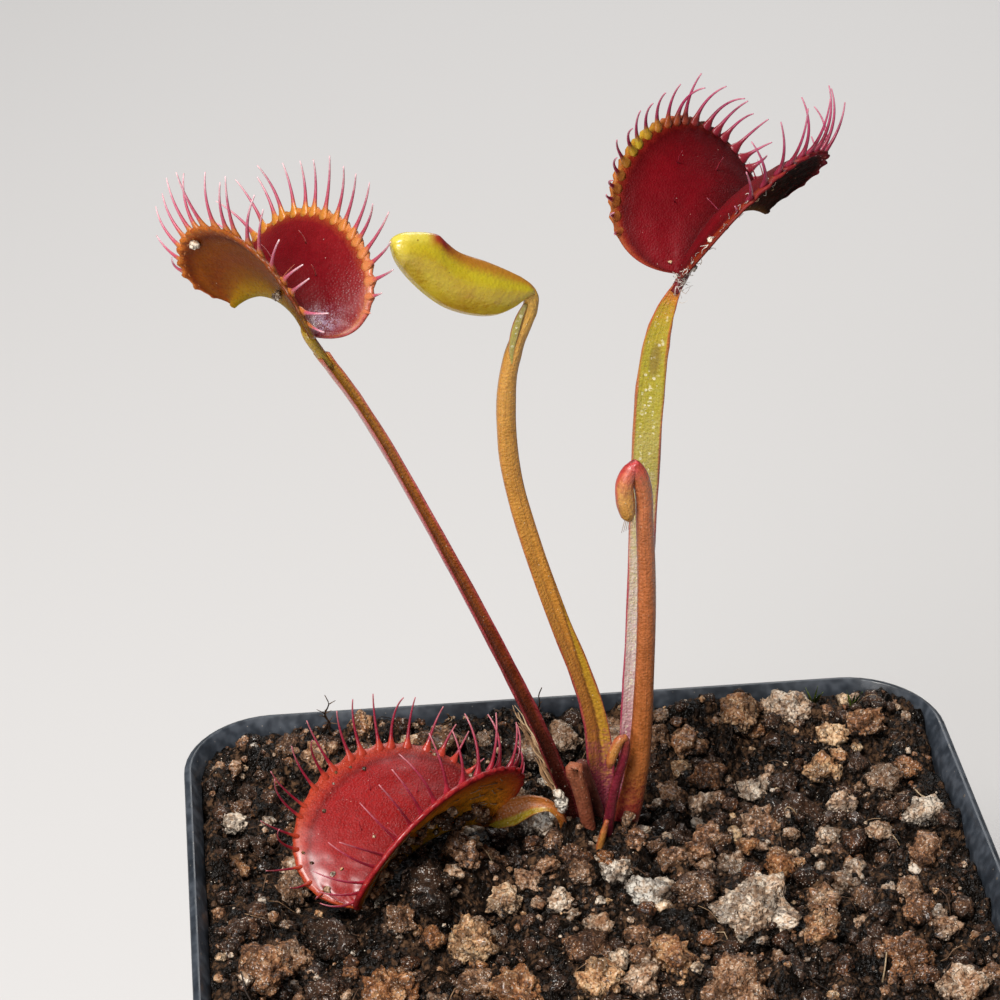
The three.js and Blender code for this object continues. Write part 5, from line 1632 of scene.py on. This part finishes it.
def build_closed_trap():
    """Two lobes shut together: a smooth pouch with a keel along its back and a thin margin."""
    trap = CLOSED_TRAP
    back, margin = (Route([(x, 0, z) for x, z in trap[label]]) for label in ("back", "margin"))
    along_back, along_margin = even_steps(back), even_steps(margin)
    turn = Matrix.Rotation(math.radians(trap["heading"]), 3, "Z")
    half = trap["thickness"] / 2
    sides, rows = 72, 80

    def where(t, k):
        part = (1 - math.cos(math.pi * t)) / 2
        top, bottom = back.point(along_back(part)), margin.point(along_margin(part))
        angle = k / sides * 2 * math.pi
        level, face = math.cos(angle), math.sin(angle)
        fat = half * math.sqrt(min(part / 0.3, 1) * min((1 - part) / 0.12, 1))
        fat *= mix(0.8, 1, smooth(0.1, 0.5, part))
        pinch = 1 - 0.1 * math.exp(-(((level - 0.6) / 0.16) ** 2))
        thin = math.copysign(abs(face) ** 1.12, face)
        low = smooth(-0.8, -1, level)
        point = bottom.lerp(top, (1 + level) / 2) + Vector((0, -fat * thin * pinch * (1 - 0.4 * low), 0))
        return turn @ point + Vector(trap["hook"]), (part, level, face)

    piece = shaped_tube("trap_middle_lobes", sides, rows, where)
    turn_faces_out(piece)
    material, shader, principled = new_material(
        "trap_green_flesh", Coat_Weight=0.4, Coat_Roughness=0.22, Subsurface_Weight=0.12,
        Subsurface_Radius=(1, 0.6, 0.15), Subsurface_Scale=0.0008, Specular_IOR_Level=0.35,
    )
    part, level, _ = shader.place()
    patches = shader.mottling(300, 0.35)
    fine = shader.mottling(1500, 0.5)
    high = shader.plus(level, shader.swing(fine, 0.12))
    lobe = shader.ramp(patches, [(0, 0.4, 0.22, 0.012), (0.45, 0.46, 0.3, 0.016), (1, 0.52, 0.38, 0.02)])
    tipped = shader.blend(shader.fit(part, 0.75, 1.0, 0.0, 0.7), lobe, (0.5, 0.42, 0.045))
    lime = shader.times(shader.fit(high, 0.1, 0.5), shader.fit(part, 0.95, 0.75, 0.0, 0.6))
    striped = shader.blend(lime, tipped, (0.48, 0.4, 0.012))
    ridge = shader.ramp(part, [
        (0, 0.44, 0.2, 0.02), (0.35, 0.38, 0.16, 0.016), (0.58, 0.34, 0.12, 0.012),
        (0.66, 0.2, 0.01, 0.008),
        (0.72, 0.3, 0.03, 0.012), (0.78, 0.56, 0.46, 0.05), (1, 0.6, 0.5, 0.08),
    ])
    ridged = shader.blend(shader.fit(high, 0.55, 0.92), striped, ridge)
    hem = shader.times(shader.fit(high, -0.9, -1.0), 0.7)
    edged = shader.blend(hem, ridged, (0.46, 0.36, 0.02))
    spotted = shader.sprinkle(edged, (0.14, 0.05, 0.01), 0.75, 1100, 0.12, 0.2)
    dotted = shader.sprinkle(spotted, (0.3, 0.14, 0.01), 0.25, 4500, 0.25, 0.4)
    pebbles = shader.pebbling(3000, 0.4)
    finish_surface(shader, principled, dotted, shader.fit(fine, 0.1, 0.9, 0.26, 0.4), pebbles, 0.05)
    dress(piece, material, "trap_green", "trap_middle")


# ---------------------------------------------------------------- small debris

def tinted_material(name, stops, gloss=0.6):
    """Plain small debris, each piece with its own tint along a range."""
    material, shader, principled = new_material(name, Specular_IOR_Level=0.4)
    tint = shader.place()[0]
    patches = shader.mottling(1600, 0.5)
    spot = shader.plus(tint, shader.swing(patches, 0.3))
    pebbles = shader.pebbling(5000, 0.6)
    roughness = shader.fit(patches, 0, 1, gloss - 0.15, gloss + 0.15)
    finish_surface(shader, principled, shader.ramp(spot, stops), roughness, pebbles, 0.06)
    return material


# Twigs against the back rim: (x, y, height, lean).
TWIGS = [(-25.2, 36.4, 5.2, 0.5), (-24.2, 36.6, 3.6, -0.8), (-2.5, 36.8, 4.4, 0.3), (-13, 36.6, 2.6, 0.9)]


def build_fibres():
    """Root hairs, moss stems and peat fibres on the soil, with a few twigs against the rim."""
    chance = random.Random(8)
    fibre = tinted_material("peat_fibre", [
        (0, 0.012, 0.007, 0.004), (0.5, 0.07, 0.035, 0.018), (0.85, 0.24, 0.14, 0.07),
        (1, 0.4, 0.3, 0.18),
    ])
    strands = []
    while len(strands) < 190:
        x, y = chance.uniform(-37, 37), chance.uniform(-37, 37)
        turn, length = chance.uniform(0, 6.3), chance.uniform(2.5, 8)
        if not room_in_pot(x, y, 1.2) or under_trap(x, y, 0.8):
            continue
        points = []
        for i in range(4):
            x, y = x + length / 4 * math.cos(turn), y + length / 4 * math.sin(turn)
            turn += chance.uniform(-0.7, 0.7)
            lift = chance.uniform(0.2, 1.1) * (0 < i < 3)
            points.append((x, y, soil_height(x, y) + 0.05 + lift))
        if not all(room_in_pot(px, py, 0.3) for px, py, _ in points) or from_crown(x, y) < 4:
            continue
        thick = chance.uniform(0.04, 0.11)
        strands.append(strand("fibre", points, thick, 0.5 * thick, 4, 6, chance.random() ** 2))
    for x, y, high, lean in TWIGS:
        ground = soil_height(x, y)
        points = []
        for i in range(6):
            aside = lean * i / 4 + chance.uniform(-0.35, 0.35)
            points.append((x + aside, y - 0.1 * i, ground - 1 + (high + 1) * i / 5))
        strands.append(strand("fibre", points, 0.2, 0.07, 6, 14, 0.55))
        for n in range(5):
            start = Vector(points[2 + n % 3])
            side, back, up = chance.uniform(-0.9, 0.9), chance.uniform(-0.6, 0.1), chance.uniform(0.2, 1)
            tip = start + Vector((side, back, up))
            strands.append(strand("fibre", [start, tip], 0.08, 0.03, 4, 3, 0.5))
    low = TrapSurface(OPEN_TRAPS["low"])
    for n in range(26):
        u, w = chance.uniform(0.15, 0.9), chance.uniform(0.35, 0.9)
        turn, length = chance.uniform(-0.9, 0.9), chance.uniform(0.8, 2.4)
        points = []
        for i in range(3):
            points.append(low.above(-1, u, w, -0.42 - 0.06 * (i % 2)))
            u += 0.03 * length / 2 * math.cos(turn)
            w = min(w + 0.06 * length / 2 * math.sin(turn), 0.95)
        strands.append(strand("fibre", points, 0.08, 0.04, 4, 6, chance.uniform(0.7, 1)))
    dress(join("peat_fibres", strands), fibre, "peat_and_grit")


def build_shreds():
    """Dry papery fibres of an old leaf along the left stalk."""
    chance = random.Random(21)
    paper = tinted_material("dry_paper", [
        (0, 0.08, 0.035, 0.018), (0.5, 0.3, 0.17, 0.08), (1, 0.55, 0.4, 0.24),
    ])
    stalk = Route(BLADES["petiole_left"]["path"])
    strips = []
    for _ in range(22):
        low = chance.uniform(0.22, 0.36)
        high = low + chance.uniform(0.05, 0.12)
        near, far = -0.7 + chance.uniform(-0.15, 0.4), -0.75 - chance.uniform(0, 0.7)
        points = []
        for i in range(6):
            middle = stalk.point(mix(low, high, i / 5))
            wave = chance.uniform(-0.16, 0.16)
            points.append(middle + Vector((mix(near, far, i / 5) + wave, -0.75 + wave, 0.2 * wave)))
        wide = chance.uniform(0.06, 0.2)
        flat = lambda t: (wide * (0.3 + math.sin(math.pi * t)), 0.04)
        strips.append(round_tube("shred", Route(points), flat, 6, 14, chance.uniform(0.1, 1)))
    piece = join("dry_shreds", strips)
    turn_faces_out(piece)
    dress(piece, paper, "dry_leaf")


def crumb(place, width, paleness, chance):
    """Small loose grain of grit at a place of its own."""
    x, y, z = place
    stone = lump("crumb", x, y, width, paleness, 3, chance)
    lift = (z - soil_height(x, y) - 0.1 * width) * MM
    for vertex, lies in zip(stone.data.vertices, stone.data.attributes["place"].data):
        vertex.co.z += lift
        lies.vector[1] += 0.8
    return stone


# Crumbs that stick to a trap: (trap, side, u, w, height over its sheet, width, paleness).
STUCK_CRUMBS = [
    ("low", 1, 0.86, 0.8, 0.4, 0.9, 0.7), ("low", 1, 0.8, 0.62, 0.4, 0.6, 0.95),
    ("low", 1, 0.78, 0.5, 0.4, 0.4, 0.9),
    ("low", 1, 0.62, 0.3, 0.4, 0.35, 0.8), ("left", -1, 0.63, 0.9, -0.5, 1, 0.95),
    ("left", -1, 0.37, 0.2, -0.8, 0.9, 0.95), ("left", -1, 0.36, 0.3, -0.7, 0.6, 0.95),
    ("right", 1, 0.2, 0.9, -0.4, 0.7, 0.95), ("right", 1, 0.3, 0.95, 0.2, 0.6, 0.95),
    ("right", 1, 0.42, 0.97, -0.3, 0.6, 0.95), ("right", -1, 0.1, 0.5, 0.4, 0.4, 0.95),
    ("right", 1, 0.12, 0.6, -0.5, 0.6, 0.95),
]

# Crumbs at the foot of the leaves: (x, y, z, width, paleness).
FOOT_CRUMBS = [
    (-3.1, 15.3, 80.5, 1.3, 1), (-2.9, 15.3, 79.6, 1.4, 1), (-2.7, 15.2, 78.8, 1.1, 0.95),
    (3.7, 14.2, 77.9, 1.5, 0.5),
    (3.4, 14.1, 76.6, 1.6, 0.4), (4, 14.2, 76.7, 1.3, 0.5), (-1.1, 14.4, 77, 0.7, 0.6),
]


def build_stuck_crumbs():
    """Soil and dust that cling to the traps and the leaf bases."""
    chance = random.Random(14)
    crumbs = []
    surfaces = {label: TrapSurface(trap) for label, trap in OPEN_TRAPS.items()}

    def stick(label, side, u, w, height, width, paleness):
        crumbs.append(crumb(surfaces[label].above(side, u, w, height), width, paleness, chance))

    for n in range(70):
        side = -1 if n % 6 else 1
        u = mix(0.12, 0.95, chance.random() ** 0.7)
        if side < 0:
            w, height, width = chance.uniform(0.1, 0.42 + 0.3 * u * u), -0.7, chance.uniform(0.5, 1.5)
        else:
            w, height, width = chance.uniform(0.8, 0.97), 0.32, chance.uniform(0.25, 0.6)
        stick("low", side, u, w, height, width, chance.uniform(0.1, 0.75))
    for place in STUCK_CRUMBS:
        stick(*place)
    for x, y, z, width, paleness in FOOT_CRUMBS:
        crumbs.append(crumb((x, y, z), width, paleness, chance))
    dress(join("stuck_crumbs", crumbs), bpy.data.materials["grit"], "peat_and_grit")


def build_moss():
    """Sprout of moss at the back rim, and a seedling tuft."""
    chance = random.Random(3)
    green = tinted_material("moss", [(0, 0.03, 0.07, 0.01), (1, 0.22, 0.3, 0.04)], gloss=0.4)
    leaves = []
    for x, y, count in ((24.8, 36.6, 16), (27, 36.3, 6), (30.6, 33.8, 5)):
        foot = Vector((x, y, soil_height(x, y)))
        for n in range(count):
            turn, rise = n * 2.4, chance.uniform(0.5, 1.2)
            ahead = Vector((math.cos(turn), math.sin(turn), 0)) * chance.uniform(0.5, 1.1)
            middle = foot + 0.5 * ahead + Vector((0, 0, 0.7 + 0.4 * rise))
            tip = foot + ahead + Vector((0, 0, 0.9 + rise))
            route = Route([foot - Vector((0, 0, 0.2)), middle, tip])
            blade = lambda t: (0.2 * math.sin(math.pi * min(t + 0.15, 1)) + 0.03, 0.04)
            leaves.append(round_tube("moss_leaf", route, blade, 6, 6, chance.random()))
    dress(join("moss_sprout", leaves), green, "peat_and_grit")


def build_hairs():
    """Pale flakes on the right trap's margin, and fine hairs on its neck and at the young leaf's tip."""
    chance = random.Random(31)
    hair = tinted_material("pale_hair", [(0, 0.3, 0.2, 0.14), (1, 0.8, 0.74, 0.66)])
    hairs = []
    right = TrapSurface(OPEN_TRAPS["right"])
    for n in range(60):
        u, w = mix(0.03, 0.5, chance.random() ** 1.2), chance.uniform(0.9, 1)
        along, outward, inward = right.frame(1, u, w)
        spot = right.point(1, u, w) + inward * chance.choice((-0.32, 0.25)) + outward * 0.12
        points = []
        for _ in range(4):
            points.append(right.placed(spot))
            drift = Vector((chance.uniform(-1, 1), chance.uniform(-1, 1), chance.uniform(-1, 1)))
            spot = spot + (along * chance.uniform(-1, 1) + drift * 0.6) * 0.36
        flake = chance.uniform(0.03, 0.07)
        flat = lambda t: (flake * mix(1, 0.4, t), 0.03)
        hairs.append(round_tube("flake", Route(points), flat, 6, 6, chance.uniform(0.3, 1)))
    for n in range(12):
        z = chance.uniform(132, 134.8)
        x, y = 7.3 + 0.3 * (z - 131) + chance.uniform(-0.5, 0.6), 20.1 + chance.uniform(-0.2, 0.2)
        points = [(x, y, z), (x + chance.uniform(-0.6, 0.6), y - 0.5, z + chance.uniform(-0.3, 0.5)),
                  (x + chance.uniform(-1, 1), y - 0.8, z + chance.uniform(-0.8, 0.9))]
        hairs.append(strand("hair", points, 0.04, 0.015, 4, 4, chance.uniform(0.4, 1)))
    for n in range(7):
        points = [(2.6 + 0.1 * n, 13.4, 113.8), (2.3 + 0.16 * n, 13, 113),
                  (2.1 + 0.2 * n, 12.9, 112.1 + 0.1 * n)]
        hairs.append(strand("hair", points, 0.05, 0.02, 4, 4, 0.1))
    dress(join("fine_hairs", hairs), hair, "trap_red")


# ---------------------------------------------------------------- bulb

def dress_bulb():
    material, shader, principled = new_material("bulb_skin")
    patches = shader.mottling(300, 0.5)
    pale = shader.ramp(patches, [(0, 0.3, 0.2, 0.12), (0.6, 0.6, 0.52, 0.4), (1, 0.5, 0.12, 0.12)])
    skin = shader.pebbling(900, 0.6)
    finish_surface(shader, principled, pale, shader.fit(patches, 0, 1, 0.4, 0.6), skin, 0.2)
    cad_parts["rhizome"].data.materials.clear()
    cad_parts["rhizome"].data.materials.append(material)


add_camera()
add_studio()
build_pot()
build_soil()
build_grit()
build_stalks()
build_open_traps()
build_closed_trap()
build_fibres()
build_shreds()
build_stuck_crumbs()
build_moss()
build_hairs()
dress_bulb()
